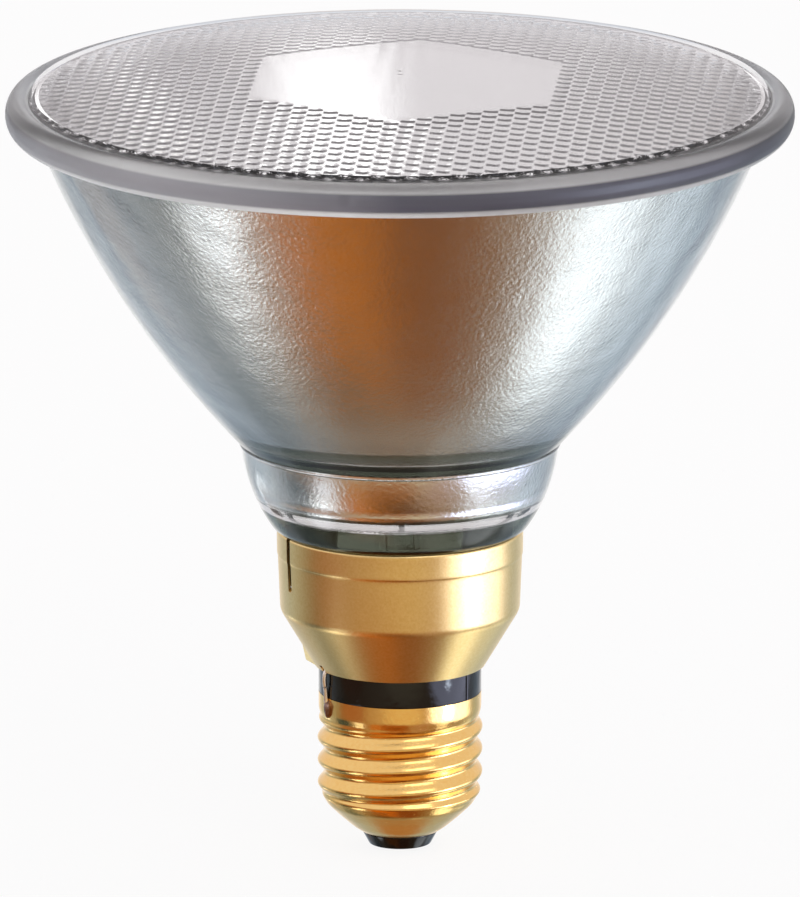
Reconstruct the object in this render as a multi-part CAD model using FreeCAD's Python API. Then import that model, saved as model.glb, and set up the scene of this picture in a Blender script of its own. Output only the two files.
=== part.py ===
import FreeCAD, Part
import math
import os

# A sealed reflector spot lamp: a pressed glass bowl, silvered inside and closed by a stippled glass lens, on
# a skirted screw cap. Lengths are in millimetres. +Z runs along the lamp's axis from the cap to the lens, and
# the origin is the flat tip of the solder on the centre contact. The front of the lamp faces -Y.

# Lengths along the axis, from the tip upwards; each piece starts where the one under it ends
insulator_height = 0.6
shell_mouth_height = 2.7
shell_cone_length = 5.7
shell_edge_height = 25.5
shell_collar_length = 3.5
ring_band = 4.4
skirt_cone_length = 8.7
skirt_band_length = 8.0
skirt_lip_length = 4.5
heel_depth = 7.6
floor_rise = 5.5
cup_depth = 9.0
ledge_step = 1.3
bowl_depth = 52.0

# Screw shell, rolled from thin brass with a right-handed round thread
shell_wall = 0.3
shell_mouth_radius = 6.05
thread_crest_radius = 13.05
thread_depth = 1.0
thread_pitch = 3.629
thread_crest_height = 16.0
thread_fade = 1.5
collar_inset = 0.2
cone_knuckle_radius = 7.5
cone_knuckle_rise = 0.95
cone_fullness = 0.9
shell_columns = 24
shell_rows_per_pitch = 6

# Insulators, centre contact and solder
contact_radius = 4.0
contact_thickness = 0.5
contact_hole_radius = 0.6
tip_insulator_land = 0.9
tip_insulator_bore_radius = 0.8
tip_insulator_depth = 3.0
solder_base_radius = 2.3
solder_flat_radius = 1.2
solder_bulge = 0.25
ring_thickness = 3.25
ring_spigot_length = 2.0
ring_seat_height = 2.6
ring_rib_angle = -35.0
ring_rib_width = 0.3
ring_rib_proud = 0.12
seat_clearance = 0.05

# Brass skirt
skirt_wall = 0.4
skirt_mouth_overhang = 0.65
skirt_shoulder_radius = 18.9
skirt_flare = 0.55
skirt_step = 0.12
skirt_curl = 0.55
shoulder_fillet = 0.7
slit_width = 0.7
slit_length = 8.0
slit_angle = -155.0
slit_count = 2
flap_angle = -180.0
flap_sweep = 26.0
flap_rise = 3.6
flap_proud = 0.8

# Glass heel, neck and bowl
heel_wall = 2.8
floor_thickness = 3.0
neck_shoulder_rise = 0.5
neck_arc_radius = 25.9
neck_arc_rise = 11.1
cup_corner_radius = 3.0
bowl_arc_radius = 160.6
bowl_overhang = 0.95
bowl_foot_wall = 3.57
bowl_flange = 2.5
junction_ridge_radius = 0.35
coating_thickness = 0.12
coating_margin = 0.8

# Rim, where the lens and the bowl are fused
rim_radius = 62.0
bead_half_width = 2.2
bead_half_height = 2.8
seam_width = 4.8
seam_groove = 0.18
seam_chamfer = 2.44

# Lens
lens_thickness = 3.5
lens_sphere_radius = 493.0
lens_shoulder_width = 2.0
margin_groove_offset = 0.9
margin_groove_depth = 0.35
relief_margin = 0.6
relief_depth = 0.4
pad_across_flats = 47.5
pad_turn = -4.7
pad_offset = 1.0

# Exhaust tube, ferrules, supports and filament, which stands as high as the mirror's focus
exhaust_radius = 2.6
exhaust_bore_radius = 1.4
exhaust_length = 8.0
ferrule_spacing = 19.0
ferrule_radius = 3.0
ferrule_wall = 0.35
ferrule_length = 6.2
ferrule_rise = 1.0
rod_radius = 0.5
rod_reach = 2.0
filament_coil_radius = 1.35
filament_wire_radius = 0.25
filament_tail = 1.2
bridge_rise = 4.0
filament_rise = 7.74
bridge_radius = 1.3
bridge_overhang = 1.8
hook_wire_radius = 0.2

# Lead wires
lead_radius = 0.35
lead_bend = 3.0
side_lead_angle = -152.0
side_lead_bend = 1.6
side_lead_drop = 1.6
side_solder_radius = 1.3
side_solder_proud = 0.95
notch_clearance = 0.15
skirt_notch_height = 1.2


def vec(x, y, z):
    """A point or direction in space."""
    return FreeCAD.Vector(x, y, z)


AXIS = vec(0, 0, 1)
ORIGIN = vec(0, 0, 0)


def polar(radius, degrees, z):
    """The point at a radius, an angle about the axis and a height."""
    angle = math.radians(degrees)
    return vec(radius * math.cos(angle), radius * math.sin(angle), z)


class Section:
    """A closed half-section, drawn with a pen over radius and height, to be turned about the axis."""

    def __init__(self, radius, z):
        self.start = vec(radius, 0, z)
        self.pen = self.start
        self.edges = []

    def add(self, edge, end):
        """Put an edge into the outline and move the pen to its far end."""
        self.edges.append(edge)
        self.pen = end
        return self

    def line(self, radius, z):
        """A straight stretch to a point."""
        end = vec(radius, 0, z)
        return self.add(Part.LineSegment(self.pen, end).toShape(), end)

    def arc_through(self, via_radius, via_z, radius, z):
        """An arc through a point to an end."""
        end = vec(radius, 0, z)
        return self.add(Part.Arc(self.pen, vec(via_radius, 0, via_z), end).toShape(), end)

    def arc_about(self, centre_radius, centre_z, radius, z):
        """The shorter arc about a centre, to an end as far from the centre as the pen is."""
        centre = vec(centre_radius, 0, centre_z)
        end = vec(radius, 0, z)
        normal = (self.pen - centre).cross(end - centre)
        circle = Part.Circle(centre, normal, (end - centre).Length)
        arc = Part.ArcOfCircle(circle, circle.parameter(self.pen), circle.parameter(end))
        return self.add(arc.toShape(), end)

    def parabola(self, focal_length, radius, z):
        """A stretch of a parabola about the axis, to an end on it, as its exact curve of three poles."""
        end = vec(radius, 0, z)
        middle_radius = (self.pen.x + radius) / 2
        pole_z = self.pen.z + (middle_radius - self.pen.x) * self.pen.x / (2 * focal_length)
        curve = Part.BezierCurve()
        curve.setPoles([self.pen, vec(middle_radius, 0, pole_z), end])
        return self.add(curve.toShape(), end)

    def turned(self):
        """The solid that the closed outline sweeps about the axis."""
        if self.pen.distanceToPoint(self.start) > 1e-6:
            self.line(self.start.x, self.start.z)
        wire = Part.Wire(Part.__sortEdges__(self.edges))
        return Part.Face(wire).revolve(ORIGIN, AXIS, 360)


def cylinder(radius, low, high, x=0.0, y=0.0):
    """A plain upright cylinder between two heights."""
    return Part.makeCylinder(radius, high - low, vec(x, y, low))


def rounded_path(points, bend):
    """A wire of straight runs through the points, with a tangent arc of one radius at each bend."""
    edges = []
    start = points[0]
    for before, corner, after in zip(points, points[1:], points[2:]):
        way_in = (corner - before).normalize()
        way_out = (after - corner).normalize()
        half_turn = way_in.getAngle(way_out) / 2
        setback = bend * math.tan(half_turn)
        first = corner - way_in * setback
        last = corner + way_out * setback
        inward = (way_out - way_in).normalize()
        middle = corner + inward * (bend / math.cos(half_turn) - bend)
        edges.append(Part.LineSegment(start, first).toShape())
        edges.append(Part.Arc(first, middle, last).toShape())
        start = last
    edges.append(Part.LineSegment(start, points[-1]).toShape())
    return Part.Wire(edges)


def wire_along(path, radius):
    """A round wire along a path."""
    start = path.Edges[0]
    circle = Part.Circle(start.valueAt(start.FirstParameter), start.tangentAt(start.FirstParameter), radius)
    profile = Part.Wire(circle.toShape())
    return path.makePipeShell([profile], True, True)


def sphere_z(crown, sphere_radius, radius):
    """The height of a shallow dome at a radius, from its crown's height and the radius of its sphere."""
    return crown - sphere_radius + math.sqrt(sphere_radius**2 - radius**2)


def arc_centre(low, high, radius):
    """The centre, nearer the axis and higher up, of an arc of a radius through two points."""
    along = high - low
    half = along.Length / 2
    across = vec(-along.z, 0, along.x).normalize()
    return low + along / 2 + across * math.sqrt(radius**2 - half**2)


def mirror_radius(z):
    """The radius of the mirror's parabola at a height."""
    return math.sqrt(4 * mirror_focal_length * (z - mirror_vertex_height))


def bowl_radius(z):
    """The outer radius of the bowl's wall at a height."""
    return math.sqrt(bowl_arc_radius**2 - (bowl_centre.z - z) ** 2) + bowl_centre.x


def neck_radius(z, inset=0.0):
    """The radius of the neck's round wall at a height, or of a surface set in from it."""
    return math.sqrt((neck_arc_radius - inset) ** 2 - (neck_arc_height - z) ** 2) - neck_arc_offset


def skirt_wall_radius(z):
    """The outer radius of the skirt's upper wall, which opens a little towards its edge."""
    share = (z - skirt_shoulder_height) / (skirt_edge_height - skirt_shoulder_height)
    return skirt_shoulder_radius + (skirt_edge_radius - skirt_shoulder_radius) * share


def bead_point(degrees):
    """The radius and height of a point on the rim bead's oval, at an angle up from its widest place."""
    angle = math.radians(degrees)
    return bead_radius + bead_half_width * math.cos(angle), seam_height + bead_half_height * math.sin(angle)


# Heights above the tip, worked out from the lengths
thread_low_end = shell_mouth_height + shell_cone_length
thread_high_end = shell_edge_height - shell_collar_length
skirt_mouth_height = shell_edge_height + ring_band
skirt_shoulder_height = skirt_mouth_height + skirt_cone_length
skirt_step_height = skirt_shoulder_height + skirt_band_length
skirt_edge_height = skirt_step_height + skirt_lip_length
heel_height = skirt_edge_height - heel_depth
neck_shoulder_height = skirt_edge_height + neck_shoulder_rise
neck_floor_height = skirt_edge_height + floor_rise
floor_under_height = neck_floor_height - floor_thickness
neck_arc_height = neck_floor_height + neck_arc_rise
neck_ledge_height = neck_floor_height + cup_depth
bowl_foot_height = neck_ledge_height + ledge_step
seam_height = bowl_foot_height + bowl_depth
flange_height = seam_height - bead_half_height

# Radii of the cap
shell_collar_radius = thread_crest_radius - collar_inset
ring_radius = shell_collar_radius
ring_bore_radius = ring_radius - ring_thickness
tip_insulator_radius = contact_radius + tip_insulator_land
skirt_mouth_radius = ring_radius + skirt_mouth_overhang
skirt_edge_radius = skirt_shoulder_radius + skirt_flare
cone_slope = (skirt_shoulder_radius - skirt_mouth_radius) / skirt_cone_length
wall_across_cone = skirt_wall * math.hypot(1, cone_slope)
inner_shoulder_rise = (wall_across_cone - skirt_wall) / cone_slope

# Heel and neck, whose round wall starts as wide as the skirt's edge
heel_radius = skirt_wall_radius(heel_height) - skirt_wall - seat_clearance
heel_bore_radius = heel_radius - heel_wall
neck_arc_reach = math.sqrt(neck_arc_radius**2 - (neck_arc_height - neck_shoulder_height) ** 2)
neck_arc_offset = neck_arc_reach - skirt_edge_radius
cup_radius = neck_radius(neck_ledge_height, heel_wall)
cup_foot_radius = neck_radius(neck_floor_height + cup_corner_radius, heel_wall)

# Rim and bowl: an arc from the neck to the bead outside, a parabola through two points inside
bead_radius = rim_radius - bead_half_width
seam_radius = bead_radius + bead_half_width - seam_width - seam_groove
bowl_waist_radius = neck_radius(bowl_foot_height) + bowl_overhang
bowl_waist = vec(bowl_waist_radius, 0, bowl_foot_height)
bowl_centre = arc_centre(bowl_waist, vec(bead_radius - bowl_flange, 0, flange_height), bowl_arc_radius)
mirror_foot_radius = bowl_waist_radius - bowl_foot_wall
mirror_edge_radius = seam_radius - seam_chamfer
mirror_edge_height = seam_height - seam_chamfer
mirror_rise = mirror_edge_height - bowl_foot_height
mirror_focal_length = (mirror_edge_radius**2 - mirror_foot_radius**2) / (4 * mirror_rise)
mirror_vertex_height = bowl_foot_height - mirror_foot_radius**2 / (4 * mirror_focal_length)

# Lens, whose inner face comes down to the seam
lens_crown_height = seam_height + lens_thickness - sphere_z(0, lens_sphere_radius, seam_radius)
lens_edge_radius = bead_radius - lens_shoulder_width
margin_groove_radius = bead_radius - margin_groove_offset
relief_radius = seam_radius - relief_margin

# Burner
ferrule_x = ferrule_spacing / 2
ferrule_top = neck_floor_height + ferrule_rise
ferrule_foot = ferrule_top - ferrule_length
bridge_height = ferrule_top + bridge_rise
filament_height = bridge_height + filament_rise
filament_length = ferrule_spacing - 2 * rod_reach
hook_radius = filament_coil_radius + hook_wire_radius + seat_clearance


def lens_outer_z(radius):
    """The height of the lens's outer face at a radius."""
    return sphere_z(lens_crown_height, lens_sphere_radius, radius)


def hexagon_prism(across_flats, turn, low, high):
    """An upright prism on the clear pad's hexagon, with one corner at the back when it isn't turned."""
    corner_radius = across_flats / math.sqrt(3)
    corners = [polar(corner_radius, 90 + turn + 60 * side, low) for side in range(7)]
    prism = Part.Face(Part.makePolygon(corners)).extrude(vec(0, 0, high - low))
    prism.translate(vec(pad_offset, 0, 0))
    return prism


def ball_slice(crown, radius, low):
    """What lies inside a cylinder, above a low height and under the lens's shallow dome."""
    ball = Part.makeSphere(lens_sphere_radius)
    ball.rotate(ORIGIN, vec(1, 0, 0), 90)
    ball.translate(vec(0, 0, crown - lens_sphere_radius))
    return cylinder(radius, low, crown + 1).common(ball)


def lens_rim():
    """The upper half of the rim bead, with the shallow groove between it and the dome's edge."""
    bead_top = seam_height + bead_half_height
    rim = Section(seam_radius, seam_height)
    rim.line(rim_radius - 2 * seam_groove, seam_height)
    rim.line(rim_radius - seam_groove, seam_height + seam_groove)
    rim.arc_through(*bead_point(30), *bead_point(90))
    rim.line(margin_groove_radius, bead_top - margin_groove_depth)
    rim.line(lens_edge_radius, lens_outer_z(lens_edge_radius))
    rim.line(seam_radius, lens_outer_z(lens_edge_radius))
    return rim.turned()


def lens():
    """The pressed lens: a shallow dome with a beaded edge and a relief field round a clear hexagon."""
    inner_crown = lens_crown_height - lens_thickness
    dome = ball_slice(lens_crown_height, lens_edge_radius, seam_height)
    hollow = ball_slice(inner_crown, seam_radius, seam_height - 1)
    glass = lens_rim().fuse(dome).cut(hollow)
    field = ball_slice(inner_crown, relief_radius, seam_height - lens_thickness)
    under_field = ball_slice(inner_crown - relief_depth, relief_radius + 1, seam_height - 2 * lens_thickness)
    field = field.cut(under_field)
    pad = hexagon_prism(pad_across_flats, pad_turn, seam_height - lens_thickness, lens_crown_height)
    return glass.fuse(field.cut(pad)).removeSplitter()


def reflector():
    """The pressed glass body: heel, neck with a floor, parabolic bowl and the rim bead's lower half."""
    body = Section(heel_radius, heel_height)
    body.line(heel_radius, skirt_edge_height)
    body.line(neck_radius(neck_shoulder_height), neck_shoulder_height)
    junction = junction_height()
    junction_radius = bowl_radius(junction)
    body.arc_about(-neck_arc_offset, neck_arc_height, junction_radius, junction)
    body.arc_about(bowl_centre.x, bowl_centre.z, bowl_radius(flange_height), flange_height)
    body.line(bead_radius, flange_height)
    body.arc_through(*bead_point(-30), rim_radius - seam_groove, seam_height - seam_groove)
    body.line(rim_radius - 2 * seam_groove, seam_height)
    body.line(seam_radius, seam_height)
    body.line(mirror_edge_radius, mirror_edge_height)
    body.parabola(mirror_focal_length, mirror_foot_radius, bowl_foot_height)
    body.line(cup_radius, neck_ledge_height)
    body.arc_about(-neck_arc_offset, neck_arc_height, cup_foot_radius, neck_floor_height + cup_corner_radius)
    body.line(cup_foot_radius - cup_corner_radius / 2, neck_floor_height)
    body.line(0, neck_floor_height)
    body.line(0, floor_under_height)
    body.line(heel_bore_radius, floor_under_height)
    body.line(heel_bore_radius, heel_height)
    glass = body.turned()
    ridge = Part.makeTorus(junction_radius, junction_ridge_radius, vec(0, 0, junction))
    glass = glass.fuse(ridge)
    for side in (-1, 1):
        glass = glass.cut(cylinder(ferrule_radius, ferrule_foot, ferrule_top, side * ferrule_x))
    tube_hole = cylinder(exhaust_radius, floor_under_height - 1, neck_floor_height + 1)
    return glass.cut(tube_hole).removeSplitter()


def junction_height():
    """The height at which the neck's round wall meets the bowl's, found by halving."""
    low = neck_ledge_height - heel_wall
    high = neck_arc_height
    for _ in range(40):
        middle = (low + high) / 2
        if bowl_radius(middle) < neck_radius(middle):
            low = middle
        else:
            high = middle
    return low


def reflector_coating():
    """The silvering: a thin skin of metal over the bowl's parabola and over the wall of the neck's cup."""
    foot = bowl_foot_height + coating_margin
    rise = coating_thickness * math.hypot(1, mirror_radius(foot) / (2 * mirror_focal_length))
    bowl = Section(mirror_radius(foot), foot)
    bowl.parabola(mirror_focal_length, mirror_radius(mirror_edge_height), mirror_edge_height)
    bowl.line(mirror_radius(mirror_edge_height - rise), mirror_edge_height)
    bowl.parabola(mirror_focal_length, mirror_radius(foot - rise), foot)
    low = neck_floor_height + cup_corner_radius
    high = neck_ledge_height - coating_margin
    skin = heel_wall + coating_thickness
    cup = Section(neck_radius(low, heel_wall), low)
    cup.arc_about(-neck_arc_offset, neck_arc_height, neck_radius(high, heel_wall), high)
    cup.line(neck_radius(high, skin), high)
    cup.arc_about(-neck_arc_offset, neck_arc_height, neck_radius(low, skin), low)
    return Part.makeCompound([bowl.turned(), cup.turned()])


def exhaust_tube():
    """The glass tube that the bulb was pumped through, sealed into the floor and melted shut at its tip."""
    tip = neck_floor_height - exhaust_length
    round_start = tip + exhaust_radius
    tube = Section(exhaust_bore_radius, neck_floor_height)
    tube.line(exhaust_radius, neck_floor_height)
    tube.line(exhaust_radius, round_start)
    tube.arc_about(0, round_start, 0, tip)
    tube.line(0, round_start)
    tube.line(exhaust_bore_radius, round_start + exhaust_bore_radius)
    return tube.turned()


def ferrule(side):
    """A drawn metal thimble sealed into the floor, closed inside the bulb and open below."""
    cup = Section(0, ferrule_top)
    cup.line(ferrule_radius, ferrule_top)
    cup.line(ferrule_radius, ferrule_foot)
    cup.line(ferrule_radius - ferrule_wall, ferrule_foot)
    cup.line(ferrule_radius - ferrule_wall, ferrule_top - ferrule_wall)
    cup.line(0, ferrule_top - ferrule_wall)
    solid = cup.turned()
    solid.translate(vec(side * ferrule_x, 0, 0))
    return solid


def support_rod(side):
    """A stout rod brazed on a ferrule, bent inwards at the top to the tail of the filament."""
    points = [
        vec(side * ferrule_x, 0, ferrule_top),
        vec(side * ferrule_x, 0, filament_height),
        vec(side * filament_length / 2, 0, filament_height),
    ]
    return wire_along(rounded_path(points, 2 * rod_radius), rod_radius)


def filament():
    """The filament: its close coil as a plain bar of the coil's size, with a straight tail at each end."""
    half = filament_length / 2
    coil_start = vec(filament_tail - half, 0, filament_height)
    coil_length = filament_length - 2 * filament_tail
    coil = Part.makeCylinder(filament_coil_radius, coil_length, coil_start, vec(1, 0, 0))
    tail_start = vec(-half, 0, filament_height)
    tails = Part.makeCylinder(filament_wire_radius, filament_length, tail_start, vec(1, 0, 0))
    return coil.fuse(tails).removeSplitter()


def filament_bridge():
    """The glass rod that holds the two supports apart, drawn round each of them."""
    half = ferrule_x + bridge_overhang
    rod_low = bridge_height - 2 * bridge_radius
    rod = Part.makeCylinder(bridge_radius, 2 * half, vec(-half, 0, bridge_height), vec(1, 0, 0))
    for side in (-1, 1):
        rod = rod.cut(cylinder(rod_radius, rod_low, rod_low + 4 * bridge_radius, side * ferrule_x))
    return rod.cut(hook_stem())


def filament_hook():
    """The wire loop that carries the middle of the coil, on a stem sealed into the bridge."""
    loop = Part.makeTorus(hook_radius, hook_wire_radius, vec(0, 0, filament_height), vec(1, 0, 0))
    return loop.fuse(hook_stem()).removeSplitter()


def hook_stem():
    """The hook's straight stem, from the middle of the bridge to the loop."""
    return cylinder(hook_wire_radius, bridge_height, filament_height - hook_radius)


def skirt():
    """The brass skirt: a spun cone and cup of one thickness, with a curled edge and spring slits."""
    curl_start = skirt_edge_height - skirt_curl
    curl_radius = skirt_edge_radius - skirt_curl
    wall = Section(skirt_mouth_radius, skirt_mouth_height)
    wall.line(skirt_shoulder_radius, skirt_shoulder_height)
    wall.line(skirt_wall_radius(skirt_step_height), skirt_step_height)
    wall.line(skirt_wall_radius(skirt_step_height) + skirt_step, skirt_step_height + skirt_step)
    wall.line(skirt_edge_radius, curl_start)
    wall.arc_about(curl_radius, curl_start, curl_radius, skirt_edge_height)
    wall.line(curl_radius, curl_start + skirt_step)
    wall.line(skirt_edge_radius - skirt_wall, curl_start - skirt_curl)
    wall.line(skirt_wall_radius(skirt_step_height) - skirt_wall, skirt_step_height)
    wall.line(skirt_shoulder_radius - skirt_wall, skirt_shoulder_height + inner_shoulder_rise)
    wall.line(skirt_mouth_radius - wall_across_cone, skirt_mouth_height)
    brass = wall.turned()
    shoulder = [e for e in brass.Edges if at_ring(e, skirt_shoulder_radius, skirt_shoulder_height)]
    brass = brass.makeFillet(shoulder_fillet, shoulder)
    slit_foot = vec(skirt_edge_radius - 3 * skirt_wall, -slit_width / 2, skirt_edge_height - slit_length)
    for number in range(slit_count):
        slit = Part.makeBox(4 * skirt_wall, slit_width, slit_length + 1)
        slit.translate(slit_foot)
        slit.rotate(ORIGIN, AXIS, slit_angle + number * 360 / slit_count)
        brass = brass.cut(slit)
    brass = brass.cut(lead_notch(skirt_mouth_height - 1, skirt_mouth_height + skirt_notch_height))
    return brass.fuse(skirt_flap()).removeSplitter()


def at_ring(edge, radius, z):
    """Whether an edge is the circle of a radius about the axis at a height."""
    curve = edge.Curve
    if not isinstance(curve, Part.Circle):
        return False
    return abs(curve.Radius - radius) < 1e-4 and abs(curve.Center.z - z) < 1e-4


def skirt_flap():
    """The three-cornered flap lifted from the skirt's mouth, beside the place where the lead comes out."""
    def on_cone(z, degrees, proud):
        return polar(skirt_mouth_radius + (z - skirt_mouth_height) * cone_slope + proud, degrees, z)

    sunk = -skirt_wall / 2
    peak = on_cone(skirt_mouth_height + flap_rise, flap_angle, sunk)
    lifted = on_cone(skirt_mouth_height + skirt_wall, flap_angle, flap_proud)
    root = on_cone(skirt_mouth_height + skirt_wall, flap_angle, sunk)
    far = on_cone(skirt_mouth_height + skirt_wall, flap_angle + flap_sweep, sunk)
    sides = [(peak, lifted, far), (peak, root, lifted), (peak, far, root), (root, far, lifted)]
    faces = [Part.Face(Part.makePolygon([a, b, c, a])) for a, b, c in sides]
    inside = Part.makeCone(
        skirt_mouth_radius - wall_across_cone,
        skirt_shoulder_radius - wall_across_cone,
        skirt_cone_length,
        vec(0, 0, skirt_mouth_height),
    )
    return Part.Solid(Part.makeShell(faces)).cut(inside)


def skirt_insulator():
    """The black ring between skirt and shell: a spigot in each, a band that shows and a fine mould line."""
    spigot_radius = shell_collar_radius - shell_wall - seat_clearance
    seat_top = skirt_mouth_height + ring_seat_height
    seat_low = skirt_mouth_radius - wall_across_cone - seat_clearance
    seat_high = seat_low + ring_seat_height * cone_slope
    ring = Section(ring_bore_radius, shell_edge_height - ring_spigot_length)
    ring.line(spigot_radius, shell_edge_height - ring_spigot_length)
    ring.line(spigot_radius, shell_edge_height)
    ring.line(ring_radius, shell_edge_height)
    ring.line(ring_radius, skirt_mouth_height)
    ring.line(seat_low, skirt_mouth_height)
    ring.line(seat_high, seat_top)
    ring.line(ring_bore_radius, seat_top)
    rib = Part.makeBox(1, ring_rib_width, ring_band)
    rib.translate(vec(ring_radius - 1 + ring_rib_proud, -ring_rib_width / 2, shell_edge_height))
    rib.rotate(ORIGIN, AXIS, ring_rib_angle)
    body = ring.turned().fuse(rib).removeSplitter()
    return body.cut(lead_notch(skirt_mouth_height - lead_radius, seat_top + 1))


def thread_strength(z):
    """How far the thread is rolled at a height, from 0 at the plain ends to 1, with a smooth fade."""
    share = min(z - thread_low_end, thread_high_end - z) / thread_fade
    share = max(0.0, min(1.0, share))
    return share * share * (3 - 2 * share)


def shell_rows():
    """The shell's plain profile from mouth to edge, as radius and height, before the thread."""
    middle = thread_crest_radius - thread_depth / 2
    knuckle_height = shell_mouth_height + cone_knuckle_rise
    rows = [(shell_mouth_radius, shell_mouth_height), (cone_knuckle_radius, knuckle_height)]
    cone_rows = 5
    for row in range(1, cone_rows):
        share = row / cone_rows
        radius = cone_knuckle_radius + (middle - cone_knuckle_radius) * share**cone_fullness
        rows.append((radius, knuckle_height + (thread_low_end - knuckle_height) * share))
    thread_rows = round(shell_rows_per_pitch * (thread_high_end - thread_low_end) / thread_pitch)
    for row in range(thread_rows + 1):
        rows.append((middle, thread_low_end + (thread_high_end - thread_low_end) * row / thread_rows))
    collar_rows = 5
    for row in range(1, collar_rows + 1):
        share = row / collar_rows
        rows.append((shell_collar_radius, thread_high_end + (shell_edge_height - thread_high_end) * share))
    return rows


def pole_shrink(per_turn):
    """How much nearer the middle than its poles a cubic spline runs, with so many poles to a wave."""
    return (4 + 2 * math.cos(2 * math.pi / per_turn)) / 6


def shell_surface(inset):
    """One face of the rolled shell: the profile's rows carried round the axis, with the thread's wave."""
    rows = shell_rows()
    steps = shell_columns
    wave_height = thread_depth / 2
    smoothing = pole_shrink(shell_rows_per_pitch)
    shrink = pole_shrink(steps)
    grid = []
    for step in range(steps):
        turn = step / steps
        line = []
        for row, (radius, z) in enumerate(rows):
            before = rows[max(row - 1, 0)]
            after = rows[min(row + 1, len(rows) - 1)]
            run = math.hypot(after[0] - before[0], after[1] - before[1])
            out_radius = (after[1] - before[1]) / run
            out_z = (before[0] - after[0]) / run
            phase = 2 * math.pi * ((z - thread_crest_height) / thread_pitch - turn)
            wave = wave_height / smoothing * thread_strength(z) * math.cos(phase)
            r = (radius + wave - inset * out_radius) / shrink
            line.append(polar(r, 360 * turn, z - inset * out_z))
        grid.append(line)
    inner_knots = len(rows) - 4
    surface = Part.BSplineSurface()
    surface.buildFromPolesMultsKnots(
        grid,
        [1] * (steps + 1),
        [4] + [1] * inner_knots + [4],
        [float(k) for k in range(steps + 1)],
        [float(k) for k in range(inner_knots + 2)],
        True,
        False,
        3,
        3,
    )
    return surface.toShape()


def screw_shell():
    """The threaded shell: two rolled faces one wall apart, joined by narrow rings at mouth and edge."""
    outer = shell_surface(0.0)
    inner = shell_surface(shell_wall)
    faces = [outer, inner]
    for near_edge in (False, True):
        rings = []
        for face in (outer, inner):
            circles = [e for e in face.Edges if e.isClosed()]
            circles.sort(key=lambda e: e.CenterOfMass.z)
            rings.append(circles[-1] if near_edge else circles[0])
        faces.append(Part.makeRuledSurface(*rings))
    shell = Part.makeShell(faces)
    shell.sewShape()
    solid = Part.Solid(shell)
    solid.fix(1e-4, 1e-5, 1e-3)
    if solid.Volume < 0:
        solid.reverse()
    return solid


def tip_insulator():
    """The black glass cone in the shell's mouth, with a bore for the lead and a recess for the contact."""
    inside_z = shell_mouth_height + shell_wall
    top = insulator_height + shell_mouth_height + tip_insulator_depth
    mouth = shell_mouth_radius - shell_wall
    knuckle = cone_knuckle_radius - shell_wall
    knuckle_z = shell_mouth_height + cone_knuckle_rise + shell_wall
    glass = Section(tip_insulator_bore_radius, insulator_height + contact_thickness)
    glass.line(contact_radius, insulator_height + contact_thickness)
    glass.line(contact_radius, insulator_height)
    glass.line(tip_insulator_radius, insulator_height)
    glass.line(shell_mouth_radius, shell_mouth_height)
    glass.line(mouth, inside_z)
    glass.line(knuckle - seat_clearance, knuckle_z + seat_clearance)
    glass.line(knuckle + seat_clearance, top)
    glass.line(tip_insulator_bore_radius, top)
    return glass.turned()


def centre_contact():
    """The brass contact plate, let into the insulator's end."""
    plate = cylinder(contact_radius, insulator_height, insulator_height + contact_thickness)
    return plate.cut(cylinder(contact_hole_radius, 0, insulator_height + 1))


def contact_solder():
    """The drop of solder that holds the lead in the contact plate, worn flat at its tip."""
    drop = Section(0, insulator_height)
    drop.line(solder_base_radius, insulator_height)
    middle_radius = (solder_base_radius + solder_flat_radius) / 2
    drop.arc_through(middle_radius + solder_bulge, insulator_height / 3, solder_flat_radius, 0)
    drop.line(0, 0)
    return drop.turned()


def centre_lead_wire():
    """The lead from one ferrule down the cap's middle to the solder on the centre contact."""
    foot = ferrule_top - ferrule_wall
    points = [
        vec(ferrule_x, 0, foot),
        vec(ferrule_x, 0, ferrule_foot - 4 * lead_radius),
        vec(0, 0, skirt_mouth_height),
        vec(0, 0, insulator_height),
    ]
    return wire_along(rounded_path(points, lead_bend), lead_radius)


def side_lead_points():
    """The side lead's route: from the other ferrule, out under the skirt's mouth and onto the collar."""
    bend_radius = ring_radius + lead_radius
    return [
        vec(-ferrule_x, 0, ferrule_top - ferrule_wall),
        vec(-ferrule_x, 0, ferrule_foot - 4 * lead_radius),
        polar(ring_bore_radius - 2 * lead_radius, side_lead_angle, skirt_mouth_height + ring_seat_height + 1),
        polar(bend_radius + lead_radius, side_lead_angle, skirt_mouth_height - lead_radius),
        polar(bend_radius, side_lead_angle, shell_edge_height - side_lead_drop),
    ]


def side_lead_wire():
    """The lead from the other ferrule to the edge of the screw shell."""
    return wire_along(rounded_path(side_lead_points(), side_lead_bend), lead_radius)


def side_solder():
    """The bead of solder that fixes the side lead on the shell's collar."""
    height = shell_edge_height - side_lead_drop
    bead = Part.makeSphere(side_solder_radius)
    centre_radius = shell_collar_radius + side_solder_proud - side_solder_radius
    bead.translate(polar(centre_radius, side_lead_angle, height))
    return bead.cut(cylinder(shell_collar_radius, height - 2, height + 2)).cut(side_lead_wire())


def lead_notch(low, high):
    """The clear way for the side lead through the ring's seat or the skirt's mouth."""
    width = 2 * (lead_radius + notch_clearance)
    way = Part.makeBox(skirt_shoulder_radius - ring_bore_radius, width, high - low)
    way.translate(vec(ring_bore_radius - 1, -width / 2, low))
    way.rotate(ORIGIN, AXIS, side_lead_angle)
    return way


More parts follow.
